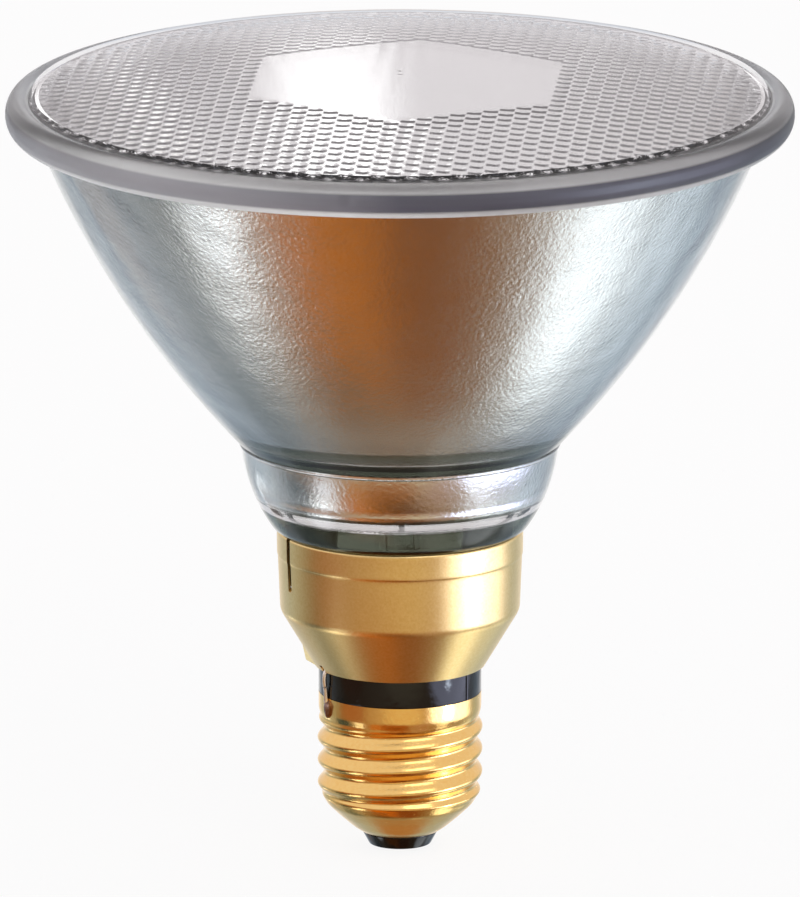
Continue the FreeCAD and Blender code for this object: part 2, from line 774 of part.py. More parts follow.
def parts():
    """Every node of the lamp, by name."""
    return {
        "lens": lens(),
        "reflector": reflector(),
        "reflector_coating": reflector_coating(),
        "exhaust_tube": exhaust_tube(),
        "ferrule_live": ferrule(1),
        "ferrule_neutral": ferrule(-1),
        "support_rod_live": support_rod(1),
        "support_rod_neutral": support_rod(-1),
        "filament": filament(),
        "filament_bridge": filament_bridge(),
        "filament_hook": filament_hook(),
        "skirt": skirt(),
        "skirt_insulator": skirt_insulator(),
        "screw_shell": screw_shell(),
        "tip_insulator": tip_insulator(),
        "centre_contact": centre_contact(),
        "contact_solder": contact_solder(),
        "centre_lead_wire": centre_lead_wire(),
        "side_lead_wire": side_lead_wire(),
        "side_solder": side_solder(),
    }


os.makedirs("parts", exist_ok=True)
for name, shape in parts().items():
    shape.exportStep(f"parts/{name}.step")
    print(f"{name}: {len(shape.Solids)} solid, {shape.Volume:.1f} mm3, valid {shape.isValid()}")
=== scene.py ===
"""A sealed reflector spot lamp: looks, studio and camera built round its CAD frame.

Every shape is worked out as numpy arrays, in millimetres, with +Z from the cap to the lens and -Y to the
viewer. It is turned into metres once, when its mesh is made.
"""

import logging
import math
from dataclasses import dataclass, field
from enum import Enum

import bpy
import numpy as np
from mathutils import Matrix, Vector


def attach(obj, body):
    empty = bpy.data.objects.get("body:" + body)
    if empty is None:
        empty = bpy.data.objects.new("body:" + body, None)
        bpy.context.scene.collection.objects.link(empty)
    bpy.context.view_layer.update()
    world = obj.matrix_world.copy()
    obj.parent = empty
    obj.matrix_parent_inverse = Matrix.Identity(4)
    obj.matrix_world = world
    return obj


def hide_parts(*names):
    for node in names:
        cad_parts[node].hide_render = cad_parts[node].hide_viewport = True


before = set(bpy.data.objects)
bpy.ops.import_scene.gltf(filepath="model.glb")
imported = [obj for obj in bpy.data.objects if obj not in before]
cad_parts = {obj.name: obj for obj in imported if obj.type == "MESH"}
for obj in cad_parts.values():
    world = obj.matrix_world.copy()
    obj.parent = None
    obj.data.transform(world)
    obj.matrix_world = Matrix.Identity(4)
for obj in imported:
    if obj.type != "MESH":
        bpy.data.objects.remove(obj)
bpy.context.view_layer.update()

log = logging.getLogger("spot_lamp")

MM = 0.001
PAD_SIDES = np.radians([0, 60, 120])
LEAD_ANGLE = -152.0


class Slot(Enum):
    """The record's material slots that the pieces take. The lens is one glass with the bowl."""

    BOWL = "bowl_glass"
    SILVERING = "silvering"
    INNER_GLASS = "inner_glass"
    FERRULE = "ferrule_metal"
    SUPPORT = "support_metal"
    FILAMENT = "filament_metal"
    SKIRT = "skirt_brass"
    BLACK_GLASS = "black_glass"
    SHELL = "shell_brass"
    CONTACT = "contact_brass"
    SOLDER = "solder"
    LEAD = "lead_metal"


# Shapes as arrays


@dataclass
class Shell:
    """A surface as arrays: points in millimetres, and triangles and quads that index them."""

    points: np.ndarray
    quads: np.ndarray = field(default_factory=lambda: np.zeros((0, 4), int))
    triangles: np.ndarray = field(default_factory=lambda: np.zeros((0, 3), int))

    def joined(self, other: "Shell") -> "Shell":
        """Both surfaces as one.

        Args:
            other: the surface to add.
        Returns:
            A surface with the points and faces of both.
        """
        start = len(self.points)
        return Shell(
            np.vstack([self.points, other.points]),
            np.vstack([self.quads, other.quads + start]),
            np.vstack([self.triangles, other.triangles + start]),
        )

    def volume(self) -> float:
        """The signed volume inside the surface, positive where the faces point outwards."""
        split = np.vstack([self.triangles, self.quads[:, [0, 1, 2]], self.quads[:, [0, 2, 3]]])
        a, b, c = (self.points[split[:, corner]] for corner in range(3))
        return float(np.einsum("ij,ij->i", a, np.cross(b, c)).sum() / 6)

    def flipped(self) -> "Shell":
        """The same surface with its faces turned over."""
        return Shell(self.points, self.quads[:, ::-1], self.triangles[:, ::-1])

    def facing_out(self) -> "Shell":
        """The surface with its faces pointing out of the volume that it closes."""
        return self if self.volume() > 0 else self.flipped()

    def facing_in(self) -> "Shell":
        """The surface with its faces pointing into the volume, as the wall of a cavity has them."""
        return self.facing_out().flipped()


def polyline(*points: tuple[float, float]) -> np.ndarray:
    """A profile through points given as radius and height."""
    return np.array(points, float)


def oval_arc(
    centre: tuple[float, float], half: tuple[float, float], start: float, end: float, count: int
) -> np.ndarray:
    """Points on an upright oval.

    Args:
        centre: the oval's middle, as radius and height.
        half: its half width and half height.
        start: the first point's angle in degrees, from outwards towards upwards.
        end: the last point's angle.
        count: the number of points.
    Returns:
        The points, as rows of radius and height.
    """
    angle = np.radians(np.linspace(start, end, count))
    return np.column_stack([centre[0] + half[0] * np.cos(angle), centre[1] + half[1] * np.sin(angle)])


def softened(profile: np.ndarray, radius: float, steps: int = 4, closed: bool = False) -> np.ndarray:
    """A profile with its corners rounded.

    Each corner is cut back by the radius along both of its sides, or by 0.45 of a shorter side. A parabola
    with the corner as its middle pole joins the two cuts.

    Args:
        profile: rows of radius and height.
        radius: how far each corner is cut back, in millimetres.
        steps: the number of points on each rounded corner.
        closed: whether the profile is a loop, whose ends are also rounded.
    Returns:
        The longer profile.
    """
    before = np.roll(profile, 1, axis=0)
    after = np.roll(profile, -1, axis=0)
    most = 0.45
    share_in = np.minimum(radius / np.linalg.norm(before - profile, axis=1), most)[:, None]
    share_out = np.minimum(radius / np.linalg.norm(after - profile, axis=1), most)[:, None]
    first = profile + (before - profile) * share_in
    last = profile + (after - profile) * share_out
    t = np.linspace(0, 1, steps)[None, :, None]
    curve = (1 - t) ** 2 * first[:, None] + 2 * t * (1 - t) * profile[:, None] + t**2 * last[:, None]
    if closed:
        return curve.reshape(-1, 2)
    return np.vstack([profile[:1], curve[1:-1].reshape(-1, 2), profile[-1:]])


def lathe(profile: np.ndarray, columns: int, closed: bool = False) -> Shell:
    """The surface that a profile sweeps round the axis.

    Args:
        profile: rows of radius and height. A first or last row on the axis becomes a single point.
        columns: the number of faces round the axis.
        closed: whether the last row is joined to the first, as on a ring.
    Returns:
        The surface, with no doubled points.
    """
    on_axis = profile[:, 0] < 1e-9
    rim = profile[~on_axis]
    turn = np.linspace(0, 2 * np.pi, columns, endpoint=False)
    x = rim[:, 0:1] * np.cos(turn)
    y = rim[:, 0:1] * np.sin(turn)
    z = np.repeat(rim[:, 1:2], columns, axis=1)
    points = np.stack([x, y, z], axis=-1).reshape(-1, 3)
    quads = wrapped_quads(len(rim), columns, closed)
    triangles = []
    here = np.arange(columns)
    there = (here + 1) % columns
    for end, row in ((0, 0), (-1, len(rim) - 1)):
        if on_axis[end]:
            pole = np.full(columns, len(points))
            points = np.vstack([points, [[0, 0, profile[end, 1]]]])
            fan = np.column_stack([pole, row * columns + there, row * columns + here])
            triangles.append(fan if end == 0 else fan[:, ::-1])
    return Shell(points, quads, np.vstack(triangles) if triangles else np.zeros((0, 3), int))


def rounded_ring(outline: np.ndarray, radius: float, steps: int, columns: int) -> Shell:
    """A closed ring round the axis, from its outline with the corners rounded."""
    return lathe(softened(outline, radius, steps, closed=True), columns, closed=True).facing_out()


def wrapped_quads(rows: int, columns: int, closed: bool) -> np.ndarray:
    """The quads of a grid that wraps round in its columns, and in its rows too if it is closed."""
    row = np.arange(rows if closed else rows - 1)[:, None]
    column = np.arange(columns)[None, :]
    next_row = (row + 1) % rows
    next_column = (column + 1) % columns
    corners = [
        row * columns + column,
        row * columns + next_column,
        next_row * columns + next_column,
        next_row * columns + column,
    ]
    return np.stack(np.broadcast_arrays(*corners), axis=-1).reshape(-1, 4)


def stitched(loop_a: np.ndarray, angle_a: np.ndarray, loop_b: np.ndarray, angle_b: np.ndarray) -> np.ndarray:
    """Triangles between two rings round the axis that have different numbers of points.

    All the points are sorted by angle. Each one closes a triangle with the point before it on its own ring
    and with the last point passed on the other ring.

    Args:
        loop_a: indices of the first ring's points, in the order of their angles.
        angle_a: those angles, rising, from 0 to a full turn.
        loop_b: the second ring's points.
        angle_b: their angles.
    Returns:
        Rows of three indices.
    """
    order = np.argsort(np.concatenate([angle_a, angle_b]), kind="stable")
    from_a = order < len(loop_a)
    passed_a = np.cumsum(from_a) - 1
    passed_b = np.cumsum(~from_a) - 1
    new_a, old_a, other_b = passed_a[from_a], passed_a[from_a] - 1, passed_b[from_a]
    new_b, old_b, other_a = passed_b[~from_a], passed_b[~from_a] - 1, passed_a[~from_a]
    side_a = np.column_stack([loop_a[old_a], loop_a[new_a], loop_b[other_b]])
    side_b = np.column_stack([loop_b[new_b], loop_b[old_b], loop_a[other_a]])
    return np.vstack([side_a, side_b])


def tube(path: np.ndarray, radius: np.ndarray, sides: int) -> Shell:
    """A closed round tube along a path.

    Args:
        path: the points of its middle line.
        radius: its radius at each of them.
        sides: the number of faces round it.
    Returns:
        The surface, with a point in the middle of each flat end.
    """
    tangent = np.gradient(path, axis=0)
    tangent /= np.linalg.norm(tangent, axis=1)[:, None]
    helper = np.cross(tangent, np.gradient(tangent, axis=0) + [1e-6, 2e-6, 3e-6])
    side = np.cross(helper, tangent)
    side /= np.linalg.norm(side, axis=1)[:, None]
    other = np.cross(tangent, side)
    turn = np.linspace(0, 2 * np.pi, sides, endpoint=False)
    ring = side[:, None] * np.cos(turn)[None, :, None] + other[:, None] * np.sin(turn)[None, :, None]
    points = (path[:, None] + ring * np.asarray(radius)[:, None, None]).reshape(-1, 3)
    count = len(points)
    points = np.vstack([points, path[:1], path[-1:]])
    here = np.arange(sides)
    there = (here + 1) % sides
    start_cap = np.column_stack([np.full(sides, count), there, here])
    last = (len(path) - 1) * sides
    end_cap = np.column_stack([np.full(sides, count + 1), last + here, last + there])
    caps = np.vstack([start_cap, end_cap])
    return Shell(points, wrapped_quads(len(path), sides, False), caps).facing_out()


def smooth_path(points: np.ndarray, count: int) -> np.ndarray:
    """A cubic that passes through every point, with a set number of points in each stretch."""
    padded = np.vstack([2 * points[0] - points[1], points, 2 * points[-1] - points[-2]])
    t = np.linspace(0, 1, count, endpoint=False)[None, :, None]
    a, b, c, d = (padded[start : len(padded) - 3 + start][:, None] for start in range(4))
    curve = 0.5 * (2 * b + (c - a) * t + (2 * a - 5 * b + 4 * c - d) * t**2 + (3 * b - a - 3 * c + d) * t**3)
    return np.vstack([curve.reshape(-1, 3), points[-1:]])


def blob(centre: np.ndarray, half: tuple[float, float, float], rows: int = 24, columns: int = 32) -> Shell:
    """A closed, slightly uneven oval drop."""
    angle = np.linspace(90, -90, rows)
    profile = np.column_stack([np.cos(np.radians(angle)), np.sin(np.radians(angle))])
    profile[[0, -1], 0] = 0
    ball = lathe(profile, columns)
    p = ball.points
    uneven = 1 + 0.08 * np.sin(3 * p[:, 0] + 1) * np.cos(4 * p[:, 1]) + 0.05 * np.sin(5 * p[:, 2])
    return Shell(p * uneven[:, None] * np.array(half) + centre, ball.quads, ball.triangles).facing_out()


def mesh_of(name: str, shape: Shell) -> bpy.types.Mesh:
    """A mesh in metres of a shape in millimetres."""
    mesh = bpy.data.meshes.new(name)
    mesh.from_pydata((shape.points * MM).tolist(), [], shape.triangles.tolist() + shape.quads.tolist())
    return mesh


# Shader building


class Shader:
    """A node tree under construction, with short ways to add nodes, set their sockets and link them."""

    def __init__(self, tree: bpy.types.NodeTree) -> None:
        self.tree = tree

    def node(self, kind: str, **values) -> bpy.types.Node:
        """Add a node.

        Args:
            kind: its type, such as ShaderNodeMath.
            values: properties of the node, or its inputs by name with spaces as underscores. An output
                socket links, and anything else is set as the input's constant.
        Returns:
            The node.
        """
        made = self.tree.nodes.new(kind)
        for name, value in values.items():
            if hasattr(made, name):
                setattr(made, name, value)
                continue
            if name.startswith("in") and name[2:].isdigit():
                socket = made.inputs[int(name[2:])]
            else:
                socket = made.inputs[name.replace("_", " ")]
            self.feed(socket, value)
        return made

    def feed(self, socket: bpy.types.NodeSocket, value) -> None:
        """Link an output to a socket, or set the socket's constant."""
        if isinstance(value, bpy.types.NodeSocket):
            self.tree.links.new(value, socket)
        else:
            socket.default_value = value

    def math(self, operation: str, *terms) -> bpy.types.NodeSocket:
        """The result of a Math node."""
        made = self.node("ShaderNodeMath", operation=operation)
        for place, term in enumerate(terms):
            self.feed(made.inputs[place], term)
        return made.outputs[0]

    def fade(self, value, **limits) -> bpy.types.NodeSocket:
        """A value brought smoothly from 0 to 1 between two limits."""
        made = self.node("ShaderNodeMapRange", interpolation_type="SMOOTHSTEP", Value=value, **limits)
        return made.outputs[0]

    def mix(self, share, first, second) -> bpy.types.NodeSocket:
        """A colour between two colours."""
        made = self.node("ShaderNodeMix", data_type="RGBA", clamp_factor=True)
        self.feed(made.inputs[0], share)
        self.feed(made.inputs[6], first)
        self.feed(made.inputs[7], second)
        return made.outputs[2]

    def group(self, tree: bpy.types.NodeTree, output: str, **values) -> bpy.types.NodeSocket:
        """One output of a node group, with its inputs fed by name."""
        made = self.tree.nodes.new("ShaderNodeGroup")
        made.node_tree = tree
        for name, value in values.items():
            self.feed(made.inputs[name.replace("_", " ")], value)
        return made.outputs[output]


def blank(owner: bpy.types.Material | bpy.types.World) -> Shader:
    """Empty the node tree of a material or world, ready to be built."""
    owner.use_nodes = True
    owner.node_tree.nodes.clear()
    return Shader(owner.node_tree)


def new_group(
    name: str, inputs: dict[str, tuple[str, object]], outputs: dict[str, str]
) -> tuple[Shader, bpy.types.Node, bpy.types.Node]:
    """Start a shader group with named sockets.

    Args:
        name: the group's name.
        inputs: each input's socket type and starting value, by name.
        outputs: each output's socket type, by name.
    Returns:
        The shader that builds the group, and its input and output nodes.
    """
    tree = bpy.data.node_groups.new(name, "ShaderNodeTree")
    for socket, (kind, value) in inputs.items():
        made = tree.interface.new_socket(socket, in_out="INPUT", socket_type=kind)
        if value is not None:
            made.default_value = value
    for socket, kind in outputs.items():
        tree.interface.new_socket(socket, in_out="OUTPUT", socket_type=kind)
    shader = Shader(tree)
    return shader, tree.nodes.new("NodeGroupInput"), tree.nodes.new("NodeGroupOutput")


def grain_group() -> bpy.types.NodeTree:
    """A group that gives a fine, slightly uneven skin: a normal for the surface and a mask from 0 to 1."""
    shader, given, result = new_group(
        "Skin grain",
        {
            "Grain size mm": ("NodeSocketFloat", 1.0),
            "Height mm": ("NodeSocketFloat", 0.02),
            "Wave size mm": ("NodeSocketFloat", 8.0),
            "Wave height mm": ("NodeSocketFloat", 0.0),
        },
        {"Normal": "NodeSocketVector", "Mask": "NodeSocketFloat"},
    )
    place = shader.node("ShaderNodeTexCoord").outputs["Object"]
    grain_scale = shader.math("DIVIDE", 1 / MM, given.outputs["Grain size mm"])
    grain = shader.node("ShaderNodeTexNoise", Vector=place, Scale=grain_scale, Detail=2.0, Roughness=0.5)
    wave_scale = shader.math("DIVIDE", 1 / MM, given.outputs["Wave size mm"])
    wave = shader.node("ShaderNodeTexNoise", Vector=place, Scale=wave_scale, Detail=1.0)
    fine = shader.math("MULTIPLY", grain.outputs[0], given.outputs["Height mm"])
    broad = shader.math("MULTIPLY", wave.outputs[0], given.outputs["Wave height mm"])
    height = shader.math("ADD", fine, broad)
    bump = shader.node("ShaderNodeBump", Strength=1.0, Distance=MM, Height=height)
    shader.feed(result.inputs["Normal"], bump.outputs[0])
    shader.feed(result.inputs["Mask"], grain.outputs[0])
    return shader.tree


def band_group() -> bpy.types.NodeTree:
    """A group that marks a ring-shaped zone: 1 between two heights and outside a radius, with soft ends."""
    shader, given, result = new_group(
        "Ring zone",
        {
            "Low mm": ("NodeSocketFloat", 0.0),
            "High mm": ("NodeSocketFloat", 1.0),
            "Inner radius mm": ("NodeSocketFloat", 0.0),
            "Soft mm": ("NodeSocketFloat", 0.3),
        },
        {"Mask": "NodeSocketFloat"},
    )
    place = shader.node("ShaderNodeTexCoord").outputs["Object"]
    split = shader.node("ShaderNodeSeparateXYZ", Vector=place)
    flat = shader.node("ShaderNodeCombineXYZ", X=split.outputs[0], Y=split.outputs[1])
    radius = shader.node("ShaderNodeVectorMath", operation="LENGTH", in0=flat.outputs[0])
    height_mm = shader.math("MULTIPLY", split.outputs[2], 1 / MM)
    radius_mm = shader.math("MULTIPLY", radius.outputs["Value"], 1 / MM)
    above = shader.math("SUBTRACT", height_mm, given.outputs["Low mm"])
    below = shader.math("SUBTRACT", given.outputs["High mm"], height_mm)
    beyond = shader.math("SUBTRACT", radius_mm, given.outputs["Inner radius mm"])
    nearest = shader.math("MINIMUM", shader.math("MINIMUM", above, below), beyond)
    share = shader.math("DIVIDE", nearest, given.outputs["Soft mm"])
    shader.feed(result.inputs["Mask"], shader.fade(share))
    return shader.tree


def patch_group() -> bpy.types.NodeTree:
    """A group that gives a soft oval mask round one direction: 1 in its middle, 0 outside it."""
    shader, given, result = new_group(
        "Soft patch",
        {
            "Direction": ("NodeSocketVector", None),
            "Middle": ("NodeSocketVector", None),
            "Half size": ("NodeSocketVector", None),
            "Softness": ("NodeSocketFloat", 0.5),
        },
        {"Mask": "NodeSocketFloat"},
    )
    direction, middle, half = given.outputs[:3]
    away = shader.node("ShaderNodeVectorMath", operation="SUBTRACT", in0=direction, in1=middle)
    scaled = shader.node("ShaderNodeVectorMath", operation="DIVIDE", in0=away.outputs[0], in1=half)
    far = shader.node("ShaderNodeVectorMath", operation="LENGTH", in0=scaled.outputs[0]).outputs["Value"]
    inner = shader.math("SUBTRACT", 1.0, given.outputs["Softness"])
    faded = shader.fade(far, From_Min=inner, From_Max=1.0, To_Min=1.0, To_Max=0.0)
    shader.feed(result.inputs["Mask"], faded)
    return shader.tree


@dataclass(frozen=True)
class BulbZones:
    """The finish of the bulb's glass, in millimetres, with painted shade and a painted reflection in its
    colours.

    Each zone is a low and a high height, an inner radius, a softness and, where it has one, a colour. The
    ledge and heel colours are painted shade, and the rim colours are a painted reflection.
    """

    clear: tuple[float, float, float] = (0.96, 0.975, 0.975)
    # Painted shade: the glass near black in the ring at the ledge
    ledge: tuple = (65.9, 68.5, 10.0, 0.3, (0.05, 0.065, 0.045))
    # Painted shade: the glass near black in the ring at the heel
    heel: tuple = (51.9, 56.4, 10.0, 0.3, (0.012, 0.018, 0.010))
    # Painted reflection: the rim bead's dark colour
    rim: tuple = (117.0, 120.5, 57.3, 0.5, (0.03, 0.03, 0.05))
    # Painted reflection: the rim bead paler at its left side, fading out over rim_reach
    rim_left_painted_reflection: tuple[float, float, float] = (0.40, 0.39, 0.44)
    rim_reach: float = 62 * MM
    satin: tuple = (116.0, 122.3, 58.0, 0.4)
    satin_roughness: float = 0.42
    roughness: float = 0.03
    grain_mm: float = 0.6
    grain_height: float = 0.009
    smooth: tuple = (116.9, 200.0, 0.0, 0.5)
    wave_mm: float = 7.0
    wave_height: float = 0.15


@dataclass(frozen=True)
class Metal:
    """A metal's two colours, its roughness, and the size and height of its grain in millimetres."""

    light: tuple[float, float, float]
    dark: tuple[float, float, float]
    roughness: float
    grain_mm: float
    height_mm: float


METAL_WAVE_MM = 9.0
METALS = {
    Slot.SILVERING: Metal((0.95, 0.94, 0.93), (0.88, 0.87, 0.86), 0.17, 0.6, 0.024),
    Slot.SKIRT: Metal((0.97, 0.75, 0.37), (0.80, 0.55, 0.20), 0.30, 0.4, 0.014),
    Slot.SHELL: Metal((1.0, 0.70, 0.27), (0.97, 0.58, 0.17), 0.18, 0.6, 0.02),
    Slot.CONTACT: Metal((0.85, 0.66, 0.36), (0.7, 0.5, 0.25), 0.3, 0.5, 0.008),
    Slot.SOLDER: Metal((0.36, 0.25, 0.21), (0.18, 0.11, 0.1), 0.38, 0.7, 0.03),
    Slot.LEAD: Metal((0.95, 0.86, 0.78), (0.82, 0.72, 0.64), 0.25, 0.8, 0.01),
    Slot.FERRULE: Metal((0.6, 0.58, 0.55), (0.45, 0.43, 0.41), 0.35, 0.6, 0.01),
    Slot.SUPPORT: Metal((0.62, 0.62, 0.62), (0.5, 0.5, 0.5), 0.3, 0.6, 0.01),
    Slot.FILAMENT: Metal((0.3, 0.3, 0.32), (0.2, 0.2, 0.22), 0.4, 0.3, 0.005),
}


@dataclass
class Palette:
    """The lamp's materials, one for each slot."""

    grain: bpy.types.NodeTree = field(default_factory=grain_group)
    band: bpy.types.NodeTree = field(default_factory=band_group)

    def start(self, slot: Slot, **values) -> tuple[bpy.types.Material, Shader, bpy.types.Node]:
        """A new material with a Principled shader.

        Args:
            slot: the record's slot, which also names the material.
            values: the shader's inputs.
        Returns:
            The material, its tree's builder and the Principled node.
        """
        material = bpy.data.materials.new(slot.value)
        shader = blank(material)
        surface = shader.node("ShaderNodeBsdfPrincipled", **values)
        shader.node("ShaderNodeOutputMaterial", Surface=surface.outputs[0])
        return material, shader, surface

    def inner_glass(self) -> bpy.types.Material:
        """Clear glass with a faint skin, for the tube and the bridge."""
        material, shader, surface = self.start(
            Slot.INNER_GLASS,
            Base_Color=(0.95, 0.97, 0.96, 1),
            Roughness=0.02,
            IOR=1.5,
            Metallic=0.0,
            Transmission_Weight=1.0,
        )
        normal = shader.group(self.grain, "Normal", Grain_size_mm=3.0, Height_mm=0.01)
        shader.feed(surface.inputs["Normal"], normal)
        return material

    def bulb(self, zones: BulbZones) -> bpy.types.Material:
        """The bulb's glass: clear, with an orange-peel skin, painted shade as dark rings at the ledge and
        heel, and a painted reflection on the rim.

        Args:
            zones: where the dark rings of painted shade and the smooth rim lie, and their painted colours.
        Returns:
            The material.
        """
        material, shader, surface = self.start(Slot.BOWL, IOR=1.5, Metallic=0.0, Transmission_Weight=1.0)
        colour = (*zones.clear, 1)
        # The ledge and heel colours are painted shade: they turn the clear glass near black in those rings
        for low, high, inner, soft, painted_light_tint in (zones.ledge, zones.heel):
            mask = self.zone(shader, low, high, inner, soft)
            colour = shader.mix(mask, colour, (*painted_light_tint, 1))
        # The rim bead's colour is a painted reflection: dark, and paler towards its left (-X) over rim_reach
        low, high, inner, soft, painted_light_tint = zones.rim
        rim = self.zone(shader, low, high, inner, soft)
        place = shader.node("ShaderNodeTexCoord").outputs["Object"]
        x = shader.node("ShaderNodeSeparateXYZ", Vector=place).outputs[0]
        side = shader.node("ShaderNodeMapRange", Value=x, From_Min=-zones.rim_reach, From_Max=0.0)
        rim_painted_reflection = shader.mix(side.outputs[0], (*zones.rim_left_painted_reflection, 1), (*painted_light_tint, 1))
        shader.feed(surface.inputs["Base Color"], shader.mix(rim, colour, rim_painted_reflection))
        satin = self.zone(shader, *zones.satin)
        finish = {"To_Min": zones.roughness, "To_Max": zones.satin_roughness}
        rough = shader.node("ShaderNodeMapRange", Value=satin, **finish)
        shader.feed(surface.inputs["Roughness"], rough.outputs[0])
        skinned = shader.math("SUBTRACT", 1.0, self.zone(shader, *zones.smooth))
        normal = shader.group(
            self.grain,
            "Normal",
            Grain_size_mm=zones.grain_mm,
            Height_mm=shader.math("MULTIPLY", skinned, zones.grain_height),
            Wave_size_mm=zones.wave_mm,
            Wave_height_mm=shader.math("MULTIPLY", skinned, zones.wave_height),
        )
        shader.feed(surface.inputs["Normal"], normal)
        return material

    def zone(
        self, shader: Shader, low: float, high: float, inner: float, soft: float
    ) -> bpy.types.NodeSocket:
        """The mask of a ring-shaped zone between two heights and outside a radius."""
        limits = {"Low_mm": low, "High_mm": high, "Inner_radius_mm": inner, "Soft_mm": soft}
        return shader.group(self.band, "Mask", **limits)

    def metal(self, slot: Slot, finish: Metal) -> bpy.types.Material:
        """Metal with a fine grain that breaks up its highlights and shades its colour a little."""
        material, shader, surface = self.start(slot, Metallic=1.0, Roughness=finish.roughness)
        given = {
            "Grain_size_mm": finish.grain_mm,
            "Height_mm": finish.height_mm,
            "Wave_size_mm": METAL_WAVE_MM,
            "Wave_height_mm": finish.height_mm * 2,
        }
        shader.feed(surface.inputs["Normal"], shader.group(self.grain, "Normal", **given))
        mask = shader.group(self.grain, "Mask", **given)
        colour = shader.mix(mask, (*finish.dark, 1), (*finish.light, 1))
        shader.feed(surface.inputs["Base Color"], colour)
        return material

    def black_glass(self) -> bpy.types.Material:
        """Black insulating glass."""
        colour = (0.005, 0.0045, 0.0045, 1)
        material, shader, surface = self.start(Slot.BLACK_GLASS, Base_Color=colour, Roughness=0.08, IOR=1.47)
        skin = {"Grain_size_mm": 2.0, "Height_mm": 0.05, "Wave_height_mm": 0.1}
        shader.feed(surface.inputs["Normal"], shader.group(self.grain, "Normal", **skin))
        return material

    def all(self) -> dict[Slot, bpy.types.Material]:
        """Every material, by slot."""
        materials = {Slot.BOWL: self.bulb(BulbZones()), Slot.INNER_GLASS: self.inner_glass()}
        materials.update({slot: self.metal(slot, finish) for slot, finish in METALS.items()})
        materials[Slot.BLACK_GLASS] = self.black_glass()
        return materials


@dataclass
class Workshop:
    """Turns shapes into pieces of the lamp, with their material, slot and CAD body."""

    materials: dict[Slot, bpy.types.Material]

    def piece(
        self, name: str, shape: Shell, slot: Slot, nodes: tuple[str, ...], sharp: float = 35.0
    ) -> bpy.types.Object:
        """Make a mesh object that rides on the lamp.

        Args:
            name: the piece's name.
            shape: its surface, in millimetres.
            slot: the record's slot whose finish it takes.
            nodes: the CAD nodes that it stands for.
            sharp: edges that bend by more than this many degrees stay crisp.
        Returns:
            The object.
        """
        mesh = mesh_of(name, shape)
        mesh.shade_smooth()
        mesh.set_sharp_from_angle(angle=math.radians(sharp))
        mesh.materials.append(self.materials[slot])
        mesh.update()
        made = bpy.data.objects.new(name, mesh)
        bpy.context.scene.collection.objects.link(made)
        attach(made, "root")
        if nodes:
            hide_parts(*nodes)
        log.info("%s: %d faces", name, len(mesh.polygons))
        return made

    def cut(self, target: bpy.types.Object, cutter: Shell) -> None:
        """Take a closed shape out of a piece for good."""
        tool = bpy.data.objects.new("cutter", mesh_of("cutter", cutter))
        bpy.context.scene.collection.objects.link(tool)
        change = target.modifiers.new("cut", "BOOLEAN")
        change.operation = "DIFFERENCE"
        change.solver = "EXACT"
        change.object = tool
        bpy.context.view_layer.update()
        after = target.evaluated_get(bpy.context.evaluated_depsgraph_get())
        cut_mesh = bpy.data.meshes.new_from_object(after)
        target.modifiers.clear()
        target.data = cut_mesh
        bpy.data.objects.remove(tool)

    def dress(self, node: str, slot: Slot) -> None:
        """Give a CAD node that stays in view its material."""
        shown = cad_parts[node]
        shown.data.materials.clear()
        shown.data.materials.append(self.materials[slot])


def upright_box(radius: float, degrees: float, half: tuple[float, float, float], z: float) -> Shell:
    """A box with its middle at a radius, an angle and a height, and one side facing the axis."""
    corner = np.array([[x, y, h] for x in (-1, 1) for y in (-1, 1) for h in (-1, 1)], float) * half
    corner[:, 0] += radius
    angle = math.radians(degrees)
    turned = np.column_stack([
        corner[:, 0] * math.cos(angle) - corner[:, 1] * math.sin(angle),
        corner[:, 0] * math.sin(angle) + corner[:, 1] * math.cos(angle),
        corner[:, 2] + z,
    ])
    quads = np.array([[0, 1, 3, 2], [4, 6, 7, 5], [0, 4, 5, 1], [2, 3, 7, 6], [0, 2, 6, 4], [1, 5, 7, 3]])
    return Shell(turned, quads).facing_out()


# The lamp's sub-assemblies


